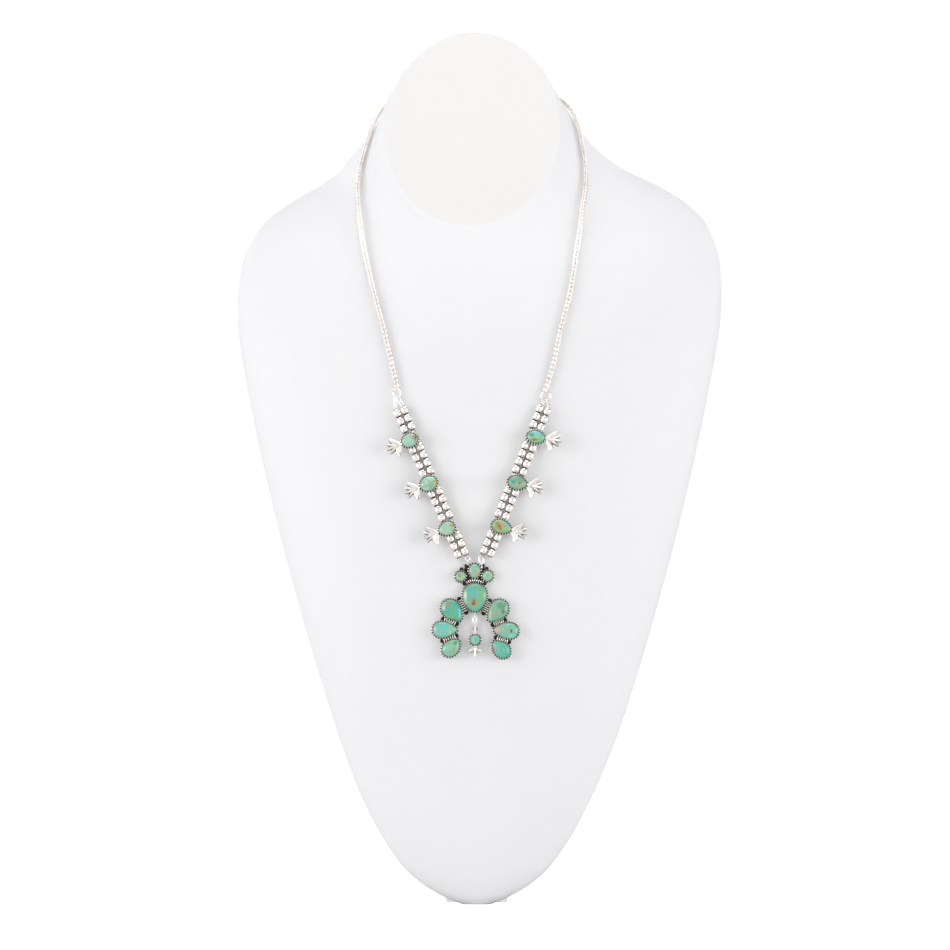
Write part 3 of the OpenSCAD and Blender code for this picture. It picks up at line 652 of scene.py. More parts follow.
# Clasp, a plain barrel. Profile columns: share of the radius, distance from its end, tarnish
clasp = {
    "width": 3.4, "overlap": 0.2,
    "profile": [(0, 0, 0), (0.6, 0, 0.3), (0.92, 0.25, 0), (1, 0.6, 0), (1, 1.6, 0), (0.94, 1.75, 0.8),
                (1, 1.9, 0)]
}


def makeClasp():
    bm = newMesh()
    reach = abs(chain["left"][-1][0]) - 2 * chain["eye"]
    half = reach - chain["eye"] + clasp["overlap"]
    barrel = [(clasp["width"] / 2 * share, along - half, dark) for share, along, dark in clasp["profile"]]
    barrel += [(r, -along, dark) for r, along, dark in reversed(barrel)]
    middle = moveTo(0, *chain["left"][-1][1:])
    addPart(bm, turned(barrel, 32), middle @ turnBy(90, "Y"))
    eye = eyePart(chain["eye"], chain["eyeWire"])
    for side in (-1, 1):
        addPart(bm, eye, middle @ moveTo(side * reach, 0, 0) @ turnBy(90, "X"))
    finishPiece(bm, "clasp", silver)


for side in signs:
    makeChain(side)
    makeJumpRing(side)
makeClasp()
print("stage: chains")

# Bead rows, by the middle between the two rows at the first and the last pair
rows = {
    "left": {"top": (-43.6, 285.4), "bottom": (-8.9, 204.1), "loopTurn": 50},
    "right": {"top": (38.5, 286.4), "bottom": (6.4, 204.7), "loopTurn": 58},
    "groups": [3, 4, 4, 3], "step": 1.6, "gap": 4.75, "swell": 0.15, "lift": 2.7
}
bead = {
    "width": 4.7, "length": 4.4, "hole": 1, "steps": 8, "seam": 0.05, "seamHalf": 0.1, "pole": 2.5,
    "power": 2.6, "collar": 2.2, "collarLength": 0.24, "thread": 0.5, "tilt": 2, "seed": 4
}
beadCount = sum(rows["groups"])
lastPlace = beadCount - 1 + rows["step"] * (len(rows["groups"]) - 1)


def beadShare(i):
    group = sum(i >= sum(rows["groups"][:n + 1]) for n in range(len(rows["groups"]) - 1))
    return (i + rows["step"] * group) / lastPlace


def sideDirection(side):
    return (Vector(rows[side]["bottom"]) - Vector(rows[side]["top"])).normalized()


def sideOut(side):
    d = sideDirection(side)
    return signs[side] * Vector((-d.y, d.x)) * (1 if d.y < 0 else -1)


def middleAt(side, share):
    return Vector(rows[side]["top"]).lerp(Vector(rows[side]["bottom"]), share)


def rowPlace(side, row, share):
    spread = rows["gap"] + rows["swell"] * math.sin(math.pi * min(max(share, 0), 1))
    plan = middleAt(side, share) + row * sideOut(side) * spread / 2
    return onChest(plan.x, plan.y) @ Vector((0, 0, rows["lift"]))


def frameAlong(place, ahead):
    return Matrix.Translation(place) @ ahead.to_track_quat("Z", "Y").to_matrix().to_4x4()


# A fat turned bead with a seam round its middle and a short blackened collar at each end. The blackened
# collars and ends are oxidation round the holes and painted shade of the grooves between beads
def beadMesh():
    r, half, pole, power = bead["width"] / 2, bead["length"] / 2, bead["pole"], bead["power"]
    profile = []
    steps, seam = bead["steps"], bead["seamHalf"]
    for i in range(-steps, steps + 1):
        h = half * math.sin(math.radians(90) * i / steps)
        if i == 0:
            profile += [(r, -seam, 0.1), (r - bead["seam"], 0, 0.5), (r, seam, 0.1)]
        else:
            wide = r * (1 - (abs(h) / pole) ** power) ** (1 / power)
            profile.append((wide, h, max(0, abs(i) - steps + 2) / 2))
    # Dark collars and end rows: oxidation round the hole and painted shade of the groove between beads
    end, collar, hole = half + bead["collarLength"], bead["collar"] / 2, bead["hole"] / 2
    foot = [(hole, 0, 1), (hole, -end, 1), (collar, -end, 1), (collar, -half, 1)]
    return toMesh(turned(foot + profile + [(r, -h, 1) for r, h, dark in reversed(foot)]), "bead")


def makeBeadRow(side, row, node):
    bm = newMesh()
    mesh = beadMesh()
    chance = random.Random(bead["seed"] + row + signs[side] * 5)
    for i in range(beadCount):
        share = beadShare(i)
        ahead = rowPlace(side, row, share + 0.01) - rowPlace(side, row, share - 0.01)
        lean = turnBy(chance.uniform(-1, 1) * bead["tilt"], "X")
        spin = Matrix.Rotation(chance.uniform(0, math.tau), 4, "Z")
        addPart(bm, mesh, frameAlong(rowPlace(side, row, share), ahead) @ lean @ spin)
    finishPiece(bm, node, silver, 40)


# Bead wire: a run through the beads, a long loop on the jump ring and an eye on the crown ring
naja = {"x": -1, "z": 178, "lift": 0.35, "plate": 1, "ringHeight": 1.9}
najaFrame = onChest(naja["x"], naja["z"], naja["lift"])
threads = {
    "loop": 1.15, "entry": 0.45, "play": 0.15, "eye": 0.85,
    # Angles on the rings at which the inner and the outer wire hang
    "spots": {("left", -1): -62, ("left", 1): -108, ("right", -1): -118, ("right", 1): -72},
    # Crown rings: x, y, radius, half of the straight run, tilt
    "crown": {"left": (-4.2, 22.8, 1.25, 0, 0), "right": (3.7, 22, 1.25, 1.1, 10)}, "crownWire": 0.35,
    "crownSpots": {("left", -1): 84, ("left", 1): 160, ("right", -1): 104, ("right", 1): 20}
}


def crownCentre(side, end):
    x, y, r, run, tilt = threads["crown"][side]
    a = math.radians(tilt)
    return Vector((x - end * run * math.sin(a), y + end * run * math.cos(a)))


def crownSpot(side, row, out):
    centre = crownCentre(side, 1)
    a = math.radians(threads["crownSpots"][side, row])
    reach = threads["crown"][side][2] + out
    return Vector((centre.x + reach * math.cos(a), centre.y + reach * math.sin(a), naja["ringHeight"]))


# The share of a row that a length past its end makes
def beyond(side, reach):
    return reach / (Vector(rows[side]["bottom"]) - Vector(rows[side]["top"])).length


def makeBeadWire(side, row, node):
    bm = newMesh()
    half = bead["length"] / 2
    top = rowPlace(side, row, -beyond(side, half + threads["entry"]))
    bottom = rowPlace(side, row, 1 + beyond(side, half + threads["play"]))
    run = [rowPlace(side, row, i / beadCount) for i in range(beadCount + 1)]
    crownEdge = najaFrame @ crownSpot(side, row, threads["eye"] + threads["play"])
    addPart(bm, wire([top] + run + [bottom, crownEdge], bead["thread"] / 2))
    turn, lift = jump[side]
    sign = signs[side]
    chest = onChest(*jumpMiddle(side))
    a, t = math.radians(threads["spots"][side, row]), math.radians(turn)
    spot = Vector((jumpR * math.cos(a) * math.cos(t), jumpR * math.sin(a),
                   lift + sign * jumpR * math.cos(a) * math.sin(t)))
    foot = chest.inverted() @ top
    ahead = (spot - foot).normalized()
    near = spot - (threads["loop"] - jump["wire"] / 2 - bead["thread"] / 2 - 2 * threads["play"]) * ahead
    far = foot + threads["loop"] * ahead
    place = (chest @ Matrix.Translation(near) @ Matrix.Rotation(math.atan2(ahead.y, ahead.x), 4, "Z")
             @ Matrix.Rotation(-math.asin(ahead.z), 4, "Y")
             @ turnBy(sign * rows[side]["loopTurn"], "X"))
    loop = ovalPoints((0, 0), (-(far - near).length, 0), threads["loop"])
    addPart(bm, wire(loop, bead["thread"] / 2, True), place)
    crownTurn = turnBy(threads["crownSpots"][side, row], "Z")
    addPart(bm, eyePart(threads["eye"], bead["thread"] / 2),
            najaFrame @ Matrix.Translation(crownSpot(side, row, threads["play"])) @ crownTurn
            @ turnBy(90, "X"))
    finishPiece(bm, node, silver, 60)


def makeCrownRing(side):
    bm = newMesh()
    r = threads["crown"][side][2]
    low, high = crownCentre(side, -1), crownCentre(side, 1)
    if (high - low).length > 0.1:
        points = ovalPoints(low, high, r)
    else:
        points = [v + low.to_3d() for v in ringPoints(r)]
    ring = wire(points, threads["crownWire"], True, sides=4)
    addPart(bm, ring, najaFrame @ moveTo(0, 0, naja["ringHeight"]))
    finishPiece(bm, "crown_ring_" + side, silver, 60)


for side in signs:
    makeCrownRing(side)
    for row, word in ((-1, "inner"), (1, "outer")):
        makeBeadRow(side, row, "beads_%s_%s" % (side, word))
        makeBeadWire(side, row, "bead_wire_%s_%s" % (side, word))
print("stage: beads and wires")

# Settings: a stone's outline is pear shaped, widest towards -X, and comes to a point at +X as the taper grows
setting = {
    "plate": 1, "gap": 0.1, "pitch": 1.42, "leastTeeth": 14, "floor": 0.05, "floorSoot": 0.6,
    # The stone's side goes straight up to domeSide of its height, then over in a dome
    "stoneColumns": 96, "stoneGrow": 0.1, "domeSteps": 12, "domeSide": 0.3, "domeWide": 0.62,
    "domeHigh": 1.15,
    # Wall profiles on a tooth and in the notch beside it: distance out from the stone, height and tarnish,
    # from the foot of the plate, up the wall and over to the stone
    # The last rows, down the inner wall beside the stone, are dark: painted shade of the bezel's inner wall
    "tooth": [(0.95, -1, 0.4), (1.06, -0.9, 0.1), (1.06, -0.12, 0), (1.02, 0, 0), (0.96, 0.3, 0),
              (0.93, 0.8, 0), (0.88, 1.4, 0), (0.76, 1.76, 0), (0.4, 1.96, 0), (0.2, 1.94, 0),
              (0.14, 1.6, 0.6), (0.15, 1.2, 1)],
    "notch": [(0.95, -1, 0.4), (0.98, -0.9, 0.4), (0.96, -0.12, 1), (0.9, 0, 1), (0.78, 0.05, 1),
              (0.7, 0.25, 1), (0.6, 0.45, 1), (0.48, 0.6, 1), (0.36, 0.7, 0.9), (0.25, 0.75, 0.9),
              (0.17, 0.7, 1), (0.15, 0.6, 1)]
}


def outlinePoint(spec, angle, grow=0, share=1):
    length, width, taper = spec[:3]
    widest = math.acos(-taper / (2 + taper))
    scale = math.sin(widest) * math.sin(widest / 2) ** taper

    def point(a):
        across = width / 2 * math.sin(a) * abs(math.sin(a / 2)) ** taper / scale
        return Vector((length / 2 * math.cos(a), across))
    step = point(angle + math.radians(2)) - point(angle - math.radians(2))
    return point(angle) * share + grow * Vector((step.y, -step.x)).normalized()


# Angles that step evenly round an outline, so that its teeth are all one size
def evenAngles(spec, count, fine=720):
    dense = [math.tau * i / fine for i in range(fine + 1)]
    points = [outlinePoint(spec, a) for a in dense]
    lengths = [0]
    for a, b in zip(points, points[1:]):
        lengths.append(lengths[-1] + (b - a).length)
    found, k = [], 0
    for i in range(count):
        want = lengths[-1] * i / count
        while lengths[k + 1] < want:
            k += 1
        share = (want - lengths[k]) / (lengths[k + 1] - lengths[k])
        found.append(dense[k] + (dense[k + 1] - dense[k]) * share)
    return found, lengths[-1]


# Back plate and toothed bezel in one shell, with a floor under the stone
def settingPart(spec):
    around = evenAngles(spec, 1)[1]
    columns = 4 * max(setting["leastTeeth"], round(around / setting["pitch"]))
    angles = evenAngles(spec, columns)[0]
    count = len(setting["tooth"])

    def place(row, column):
        if row == 0 or row == count + 1:
            return Vector((0, 0, -setting["plate"] if row == 0 else setting["floor"])), setting["floorSoot"]
        grow, height, dark = setting["tooth" if column % 4 < 2 else "notch"][row - 1]
        p = outlinePoint(spec, angles[column], grow)
        return Vector((p.x, p.y, height)), dark
    return spunBand(count + 2, columns, place)


def stonePart(spec, rise):
    angles = evenAngles(spec, setting["stoneColumns"])[0]
    dome, steps, side = [(0, 0), (1, 0)], setting["domeSteps"], setting["domeSide"]
    for i in range(steps + 1):
        a = math.radians(90 * i / steps)
        share = math.cos(a) ** setting["domeWide"] if i < steps else 0
        dome.append((share, side + (1 - side) * math.sin(a) ** setting["domeHigh"]))

    def place(row, column):
        share, height = dome[row]
        p = outlinePoint(spec, angles[column], share * setting["stoneGrow"], share)
        return Vector((p.x, p.y, rise * height)), 0
    return spunBand(len(dome), setting["stoneColumns"], place)


def addStone(node, place, spec, rise, look):
    bm = newMesh()
    addPart(bm, stonePart(spec, rise), place @ moveTo(0, 0, setting["gap"]))
    material = makeStone(camelName(node), look, place.translation * mm)
    finishPiece(bm, node, material, 50)


petal = {
    "thickness": 0.8, "ridge": 0.5, "lift": 0.3, "curl": 26,
    # Petal columns: angle from the middle towards the lower side, share of the length, width, sideways curl.
    # The two broad petals stand outside, and three narrow ones lie side by side between them
    "broad": [(-33, 0.88, 2.9, -0.6), (41, 0.8, 3.7, 1.1)],
    "narrow": [(-15.5, 0.95, 1.95, -0.3), (-1.5, 1, 1.95, 0), (13, 0.95, 1.95, 0.3)],
    # Width along a petal: where on its wave it starts, how far out it is widest, how full it is
    "broadSwell": (0.12, 1, 0.75), "narrowSwell": (0.08, 1.5, 0.7), "body": 0.96, "tip": 0.03,
    "ridgePower": 1.6,
    # Painted shade of the dark gaps between petals, laid on their edges: share of the half width, then from
    # and to along the length, and how softly it begins
    "soot": (0.62, 0.4, 0.93), "gapShadeFade": (0.2, 0.15),
    # Height of the fan's foot as a share of the plate, how much higher the broad petals lie, and the stem
    "foot": 0.85, "broadRise": 0.15,
    "stem": [(0, 0, 0.4), (0.95, 0, 0.4), (1.1, 0.3, 0.2), (1.1, 1.1, 0), (0.8, 1.5, 0), (0, 1.65, 0)]
}


# A leaf with a ridge down its middle, bent sideways. A broad one is lifted at its tip and has painted shade,
# for the dark gap beside it, on the edge that it bends away from; a narrow one has it on both edges
def petalPart(length, width, bend, broad):
    part = newMesh()
    tarnish = part.verts.layers.float["tarnish"]
    bmesh.ops.create_grid(part, x_segments=16, y_segments=8, size=1)
    inner, start, end = petal["soot"]
    across, along = petal["gapShadeFade"]
    low, outward, full = petal["broadSwell" if broad else "narrowSwell"]
    for v in part.verts:
        u, side = (v.co.x + 1) / 2, v.co.y
        swell = abs(math.sin(math.pi * (low + (1 - low) * u ** outward)) ** full)
        half = width / 2 * (swell * petal["body"] + petal["tip"])
        a = math.radians(petal["curl"]) * bend * u * u
        ahead, aside = Vector((math.cos(a), math.sin(a))), Vector((-math.sin(a), math.cos(a)))
        p = length * u * ahead + half * side * aside
        rise = petal["ridge"] * (1 - abs(side) ** petal["ridgePower"]) + petal["lift"] * broad * u ** 2
        v.co = (p.x, p.y, rise)
        edge = -side * math.copysign(1, bend) if broad else abs(side)
        soot = smoothShare(edge, inner, inner + across) * smoothShare(u, start, start + along)
        v[tarnish] = soot * (u < end)
    bmesh.ops.solidify(part, geom=part.faces[:], thickness=petal["thickness"])
    bmesh.ops.recalc_face_normals(part, faces=part.faces)
    return part


def addFan(bm, place, length, broad, narrow, flip=1, grow=1):
    for outer, leaves in ((1, broad), (0, narrow)):
        for angle, share, width, bend in leaves:
            turn = place @ turnBy(flip * angle, "Z")
            lift = moveTo(0, 0, setting["plate"] * petal["foot"] + petal["broadRise"] * outer)
            addPart(bm, petalPart(length * share, width * grow, flip * bend, outer), turn @ lift)
    addPart(bm, turned([(r * grow, height, dark) for r, height, dark in petal["stem"]], 20), place)


blossom = {
    # Columns: stone length, width and taper, turn from square, shift of the plate outward and along the row
    "left": [(9.3, 7.7, 0.1, 0, -1.35, 1.55), (10, 8, 0.1, 0, -1.4, 0.95), (9.4, 7.6, 0.3, 0, -0.95, 0.75)],
    "right": [(10.2, 7.2, 0.2, 12, -1.35, -0.65), (10.8, 7.6, 0.3, 9, -1.6, -1.4),
              (11.4, 7.6, 0.3, 5, -0.9, -0.3)],
    "places": [(2, 3), (6, 7), (10, 11)], "out": 3, "plateHeight": 5.2, "rise": 2.9, "fanShift": 1,
    "petals": 9.6, "tube": 1.15, "tubeHole": 0.6, "tubeLength": 7, "tubeEdge": 0.15, "tubeBand": 0.7,
    # A web joins each tube to the plate: shares of its length at the tube and at the plate, lift and edge
    "webFoot": 0.95, "webTop": 0.8, "webLift": 0.1, "webEdge": 0.15
}
blossomLooks = {
    "left": [
        ("#9DCBB5", "#AABC9C", "#C7D9C8", 1, [
            (4.2, 0.3, 1.6, 3.2, "#9AAE8C"), (2.7, 1.9, 1.2, 1.5, "#AE8E75"),
            (3.3, 1.2, 0.32, 1.7, "#4C2C19"), (-1.5, 0.6, 2.2, 2, "#9ED5C5")]),
        ("#A8D7C3", "#9ABB9E", "#CFE8DA", 2, [
            (1.6, -0.6, 1.6, 2.6, "#88B593"), (4, 0.4, 1.5, 2.6, "#BEA750"),
            (3.1, 1.4, 0.6, 0.8, "#948743")]),
        ("#99CBB8", "#ABC9AE", "#C1DBCE", 3, [
            (2.2, 2, 1.4, 0.9, "#D4A789"), (3, 1.9, 1.1, 0.95, "#BCA137"),
            (3.4, -0.4, 0.7, 1.6, "#97A376")])
    ],
    "right": [
        ("#7FBF9C", "#95C59B", "#AED6B5", 4, [
            (0.4, 2.1, 2.6, 1.2, "#79D3D7"), (-2.6, 1.6, 1.5, 1.1, "#54A484"),
            (-0.7, -1.3, 1.9, 0.75, "#B2692D"), (0.9, -1.2, 0.9, 0.5, "#BC9251")]),
        ("#78AB8C", "#90B798", "#B1CBB1", 5, [
            (-2.4, 0.8, 1.5, 1.2, "#469C87"), (1.5, 0.2, 1, 0.9, "#A16B3F"),
            (2.6, -1, 1.2, 0.8, "#AFB282")]),
        ("#8DB075", "#9DBC89", "#BACDA7", 6, [
            (3.3, 1.4, 2.3, 1.8, "#76C0C3"), (-2.4, 2.1, 0.8, 0.9, "#BD572B"),
            (-1.2, 0.5, 1.3, 1.2, "#CF4B0C"), (1.4, 0.4, 1.3, 0.5, "#CE7C2C"),
            (-0.6, -1, 0.8, 0.5, "#A66B22")])
    ]
}


def blossomFrame(side, k):
    share = sum(beadShare(i) for i in blossom["places"][k]) / 2
    plan = middleAt(side, share) + blossom["out"] * sideOut(side)
    d = sideDirection(side)
    roll = math.degrees(math.atan2(d.y, d.x)) + 90 + (180 if side == "left" else 0)
    return onChest(plan.x, plan.y, 0, roll), share


def makeBlossom(side, k):
    bm = newMesh()
    spec = blossom[side][k]
    place, share = blossomFrame(side, k)
    spread = (rows["gap"] + rows["swell"] * math.sin(math.pi * share)) / 2
    half, r, edge = blossom["tubeLength"] / 2, blossom["tube"], blossom["tubeEdge"]
    tube = [(blossom["tubeHole"], -half, 0.8), (r - edge, -half, 0.3), (r, edge - half, 0),
            (r, blossom["tubeBand"] - half, 0)]
    tube += [(wide, -along, dark) for wide, along, dark in reversed(tube)] + tube[:1]
    rise = blossom["plateHeight"] - rows["lift"]
    for row in (-1, 1):
        middle = place @ moveTo(-blossom["out"] + row * spread, 0, rows["lift"])
        addPart(bm, turned(tube, 24), middle @ turnBy(90, "X"))
        web = boxPart(r, blossom["tubeLength"], rise)
        for v in web.verts:
            v.co.y *= blossom["webFoot" if v.co.z < 0 else "webTop"]
        roundEdges(web, web.edges[:], blossom["webEdge"])
        addPart(bm, web, middle @ moveTo(0, 0, rise / 2 + blossom["webLift"]))
    top = (place @ moveTo(spec[4], spec[5], blossom["plateHeight"])
           @ turnBy(signs[side] * spec[3], "Z"))
    cup = top @ moveTo(0, 0, setting["plate"])
    addPart(bm, settingPart(spec), cup)
    addFan(bm, top @ moveTo(spec[0] / 2 + blossom["fanShift"], 0, 0), blossom["petals"], petal["broad"],
           petal["narrow"], -signs[side])
    finishPiece(bm, "blossom_%s_%d" % (side, k + 1), silver, 40)
    addStone("blossom_stone_%s_%d" % (side, k + 1), cup, spec, blossom["rise"], blossomLooks[side][k])


for side in signs:
    for k in range(3):
        makeBlossom(side, k)
print("stage: blossoms")

# Naja. Stone columns: node, centre x and y, length, width, taper, angle of the point, rise
naja["stones"] = [
    ("stone_centre", 0, 0.2, 16.4, 13.9, 0.3, -90, 4),
    ("stone_crown", -0.1, 15.6, 8.2, 6.6, 0.15, -90, 3.2),
    ("stone_crown_left", -8.2, 12.5, 5.8, 5.6, 0, 0, 2.9),
    ("stone_crown_right", 7.4, 12.7, 6, 5.7, 0, 45, 2.9),
    ("stone_upper_left", -12.9, -7.6, 14.6, 10.4, 0.55, -47, 3.7),
    ("stone_upper_right", 12.9, -7.8, 14.6, 10.4, 0.55, -132, 3.7),
    ("stone_middle_left", -17.3, -18.45, 14, 9.2, 0.55, 0, 3.6),
    ("stone_middle_right", 18, -19, 14.4, 9.2, 0.6, 176, 3.6),
    ("stone_lower_left", -13.5, -28.8, 11.8, 8.6, 0.4, 42, 3.5),
    ("stone_lower_right", 15, -29.6, 12, 8.6, 0.45, 137, 3.5)
]
naja.update({
    # Bands from one stone to the next: start and end, where the balls sit
    "bands": [(-9, -0.6, -5, -8.4), (8.6, -1.6, 5, -8.8), (-18.4, -12.2, -10.4, -15),
              (17.4, -12.8, 10.4, -15.6), (-18.8, -25, -10.6, -22), (12.2, -23, 19.8, -25.6)],
    "bandWidth": 2.6, "ribs": 6, "ribShare": 0.6, "ribRise": 0.6, "ribHeight": 1.15,
    "ribShort": 0.1, "ribSoot": 0.1,
    # The ribs keep off a band's ends by a share of its balls' width. The balls are dark nearly to their top:
    # a painted dark reflection
    "ribInset": 0.75, "ball": 1.4, "ballLift": 0.2, "ballBase": 1, "soot": 1.75,
    "fringe": {"bars": 9, "reach": 10.1, "from": 62, "to": 118, "shift": 0.2, "lift": 0.2, "width": 0.7,
               "length": 1.5, "soot": 0.55},
    "crownBalls": [(-7.8, 16.8), (-5, 18.8), (-4.9, 16.6), (6.9, 17.2), (4.8, 18.8), (4.7, 16.6), (-6.2, 8.2),
                   (5.8, 8.4)],
    "crownPlate": [(-8.2, 12.5), (0, 0), (7.4, 12.7), (4.9, 18.9), (-5.2, 18.9)],
    "eyeR": 0.95, "tab": (0.9, 1.6), "tabEdge": 0.18, "eyeShift": {"left": (0, 0.05), "right": (0.2, 0.02)},
    "dropEye": (0, -10.7)
})
najaLooks = {
    "stone_centre": ("#6EB59D", "#85B48B", "#A5C9B1", 1, [
        (-1.6, 3.2, 3.4, 2.6, "#5BBAB6"), (-5.6, -0.5, 1.2, 4.5, "#A4CFB4"),
        (3.4, 0.5, 1.8, 3.6, "#78B892"), (-2.7, -2.6, 1.7, 0.5, "#C69B7D"),
        (-0.5, -2.7, 1.25, 1.9, "#AF501A"), (-1, -3.6, 1, 0.9, "#86682C")]),
    "stone_crown": ("#8BBEA3", "#9DBB93", "#BBD0B9", 2, [
        (-0.9, 0.6, 1.4, 1.8, "#82C6B9"), (1.6, -0.6, 1.1, 1.8, "#C0AA84")]),
    "stone_crown_left": ("#92BB9C", "#A3BFA0", "#BED1B6", 3, [
        (0.9, -1, 1.2, 1, "#B1BD8E"), (-0.6, 0.6, 1, 1.1, "#75A785")]),
    "stone_crown_right": ("#94C4A9", "#A2C8A7", "#C0D8BF", 4, [
        (0.4, 0.4, 1.3, 1.2, "#7FBC99"), (1.9, 1.4, 1, 0.5, "#C8A789")]),
    "stone_upper_left": ("#4EB1A5", "#6BB690", "#88C4AD", 5, [
        (-5, 3.2, 1.7, 2.4, "#99C29E"), (0.3, 1.4, 1.4, 3.4, "#5BB582"), (-2.3, 4.6, 0.75, 2, "#BE884B"),
        (-3.5, 2.2, 0.6, 1, "#AE693A"), (1.2, -4.9, 1, 0.5, "#B3714D"), (2.6, 0, 2, 2.4, "#4DB6AE")]),
    "stone_upper_right": ("#7BB392", "#85B89E", "#A8C7B2", 6, [
        (2.4, 3, 2.8, 2.2, "#669C79"), (3.6, -0.2, 1.4, 1.5, "#6D8665"), (3, 0.4, 0.5, 0.4, "#79603F"),
        (-2.4, -1.5, 2, 1.5, "#B5A291"), (-3.6, -4.2, 2, 1.3, "#8CC8B3")]),
    "stone_middle_left": ("#72C4B0", "#8DC7AD", "#BDDCC7", 7, [
        (-0.6, 1.6, 3, 1.5, "#67C4C1"), (2.6, 0.2, 0.8, 0.7, "#A8AD91"), (4.6, 0.6, 1.2, 1.6, "#98C7AA")]),
    "stone_middle_right": ("#7EBCA0", "#8AC0AC", "#AFCFBC", 8, [
        (-5, 0.8, 2, 2, "#D1B399"), (-2.8, 1.4, 1.5, 1.2, "#B3B89D"), (3.4, -3, 2.4, 1.2, "#8ECEC4"),
        (3.2, -0.3, 0.65, 1, "#633E2B"), (2.8, 0.5, 0.5, 0.5, "#8A6144")]),
    "stone_lower_left": ("#87C1A9", "#8EBD95", "#B1D2BC", 9, [
        (2.5, 2.7, 1.9, 1.5, "#619875"), (1.3, -1.1, 0.75, 2.4, "#B8A561"),
        (-2.9, -0.4, 1.8, 2, "#7EC9C3")]),
    "stone_lower_right": ("#4DB19B", "#6ABCA4", "#90CABA", 10, [
        (-4, 0.4, 0.8, 2, "#999578"), (0.6, -0.6, 0.5, 0.4, "#469381")]),
    "drop_stone": ("#78BFA9", "#8FC8B3", "#B6D7C7", 11, [
        (0.4, 0.3, 1.1, 1, "#60BAA5")])
}


# Darker towards the bottom; on the naja's balls it reaches nearly to the top, as a painted dark reflection
def darkerBelow(part, width, dark):
    tarnish = part.verts.layers.float["tarnish"]
    for v in part.verts:
        v[tarnish] = min(1, max(0, dark - v.co.z / width * 2))
    return part


def ballPart(width, dark=0.45):
    part = newMesh()
    bmesh.ops.create_uvsphere(part, u_segments=20, v_segments=12, radius=width / 2)
    return darkerBelow(part, width, dark)


# A rounded bar along Y
def ribPart(width, length, dark):
    part = ballPart(width)
    for v in part.verts:
        v.co = (v.co.x, v.co.z, v.co.y)
        v.co.y += math.copysign((length - width) / 2, v.co.y) if abs(v.co.y) > 0.01 else 0
    bmesh.ops.recalc_face_normals(part, faces=part.faces)
    return darkerBelow(part, width, dark)


# A flat plate from its outline, dark on top
def platePart(points, thickness, dark=1):
    part = newMesh()
    tarnish = part.verts.layers.float["tarnish"]
    face = part.faces.new([part.verts.new((*p, 0)) for p in points])
    top = movedVerts(bmesh.ops.extrude_face_region(part, geom=[face]))
    bmesh.ops.translate(part, vec=(0, 0, thickness), verts=top)
    for v in top:
        v[tarnish] = dark
    bmesh.ops.recalc_face_normals(part, faces=part.faces)
    return part


# A ball on the naja, dark nearly to its top as a painted dark reflection
def addBall(bm, x, y):
    height = naja["plate"] + naja["ball"] * naja["ballLift"]
    addPart(bm, ballPart(naja["ball"], naja["soot"]), najaFrame @ moveTo(x, y, height))


def addBand(bm, band):
    start, end = band[:2], band[2:]
    run = (Vector(end) - Vector(start)).length
    turn = najaFrame @ frameTowards(start, end)
    ends = [p.xy for p in ovalPoints((0, 0), (run, 0), naja["bandWidth"] / 2)]
    addPart(bm, platePart(ends, naja["plate"]), turn)
    ribRun = run - 2 * naja["ribInset"] * naja["ball"]
    width = naja["ribShare"] * ribRun / naja["ribs"]
    rib = toMesh(ribPart(width, naja["bandWidth"] - naja["ribShort"], naja["ribSoot"]), "rib")
    for i in range(naja["ribs"]):
        x = (run - ribRun) / 2 + ribRun * i / (naja["ribs"] - 1)
        addPart(bm, rib, turn @ moveTo(x, 0, naja["plate"] + naja["ribRise"])
                @ Matrix.Diagonal((1, 1, naja["ribHeight"], 1)))
    addBall(bm, *start)
    addBall(bm, *end)


def addEyelet(bm, x, y):
    ring = najaFrame @ moveTo(x, y, naja["ringHeight"]) @ turnBy(90, "Y")
    addPart(bm, eyePart(naja["eyeR"], threads["crownWire"]), ring)
    wide, long = naja["tab"]
    foot = y + math.copysign(naja["eyeR"] + long / 2, -y)
    tab = boxPart(wide, long, naja["ringHeight"])
    roundEdges(tab, tab.edges[:], naja["tabEdge"])
    addPart(bm, tab, najaFrame @ moveTo(x, foot, naja["ringHeight"] / 2))


def stoneFrame(stone):
    return najaFrame @ moveTo(stone[1], stone[2], naja["plate"]) @ turnBy(stone[6], "Z")


def makeNaja():
    bm = newMesh()
    addPart(bm, platePart(naja["crownPlate"], naja["plate"]), najaFrame)
    for band in naja["bands"]:
        addBand(bm, band)
    wide, high = naja["ballBase"], naja["plate"]
    base = [(0, 0, 0.5), (wide, 0, 0.5), (wide, high, 0.9), (0, high, 0.9)]
    for x, y in naja["crownBalls"]:
        addPart(bm, turned(base, 20), najaFrame @ moveTo(x, y, 0))
        addBall(bm, x, y)
    fringe = naja["fringe"]
    for i in range(fringe["bars"]):
        a = math.radians(fringe["from"] + (fringe["to"] - fringe["from"]) * i / (fringe["bars"] - 1))
        bar = moveTo(fringe["reach"] * math.cos(a), fringe["reach"] * math.sin(a) + fringe["shift"],
                     naja["plate"] + fringe["lift"])
        addPart(bm, ribPart(fringe["width"], fringe["length"], fringe["soot"]),
                najaFrame @ bar @ Matrix.Rotation(a - math.pi / 2, 4, "Z"))
    for side in signs:
        centre = crownCentre(side, -1)
        right, down = naja["eyeShift"][side]
        addEyelet(bm, centre.x + right, centre.y - threads["crown"][side][2] - down)
    addEyelet(bm, *naja["dropEye"])
    for stone in naja["stones"]:
        addPart(bm, settingPart(stone[3:6]), stoneFrame(stone))
    finishPiece(bm, "naja", silver, 40)
    for stone in naja["stones"]:
        addStone(stone[0], stoneFrame(stone), stone[3:6], stone[7], najaLooks[stone[0]])


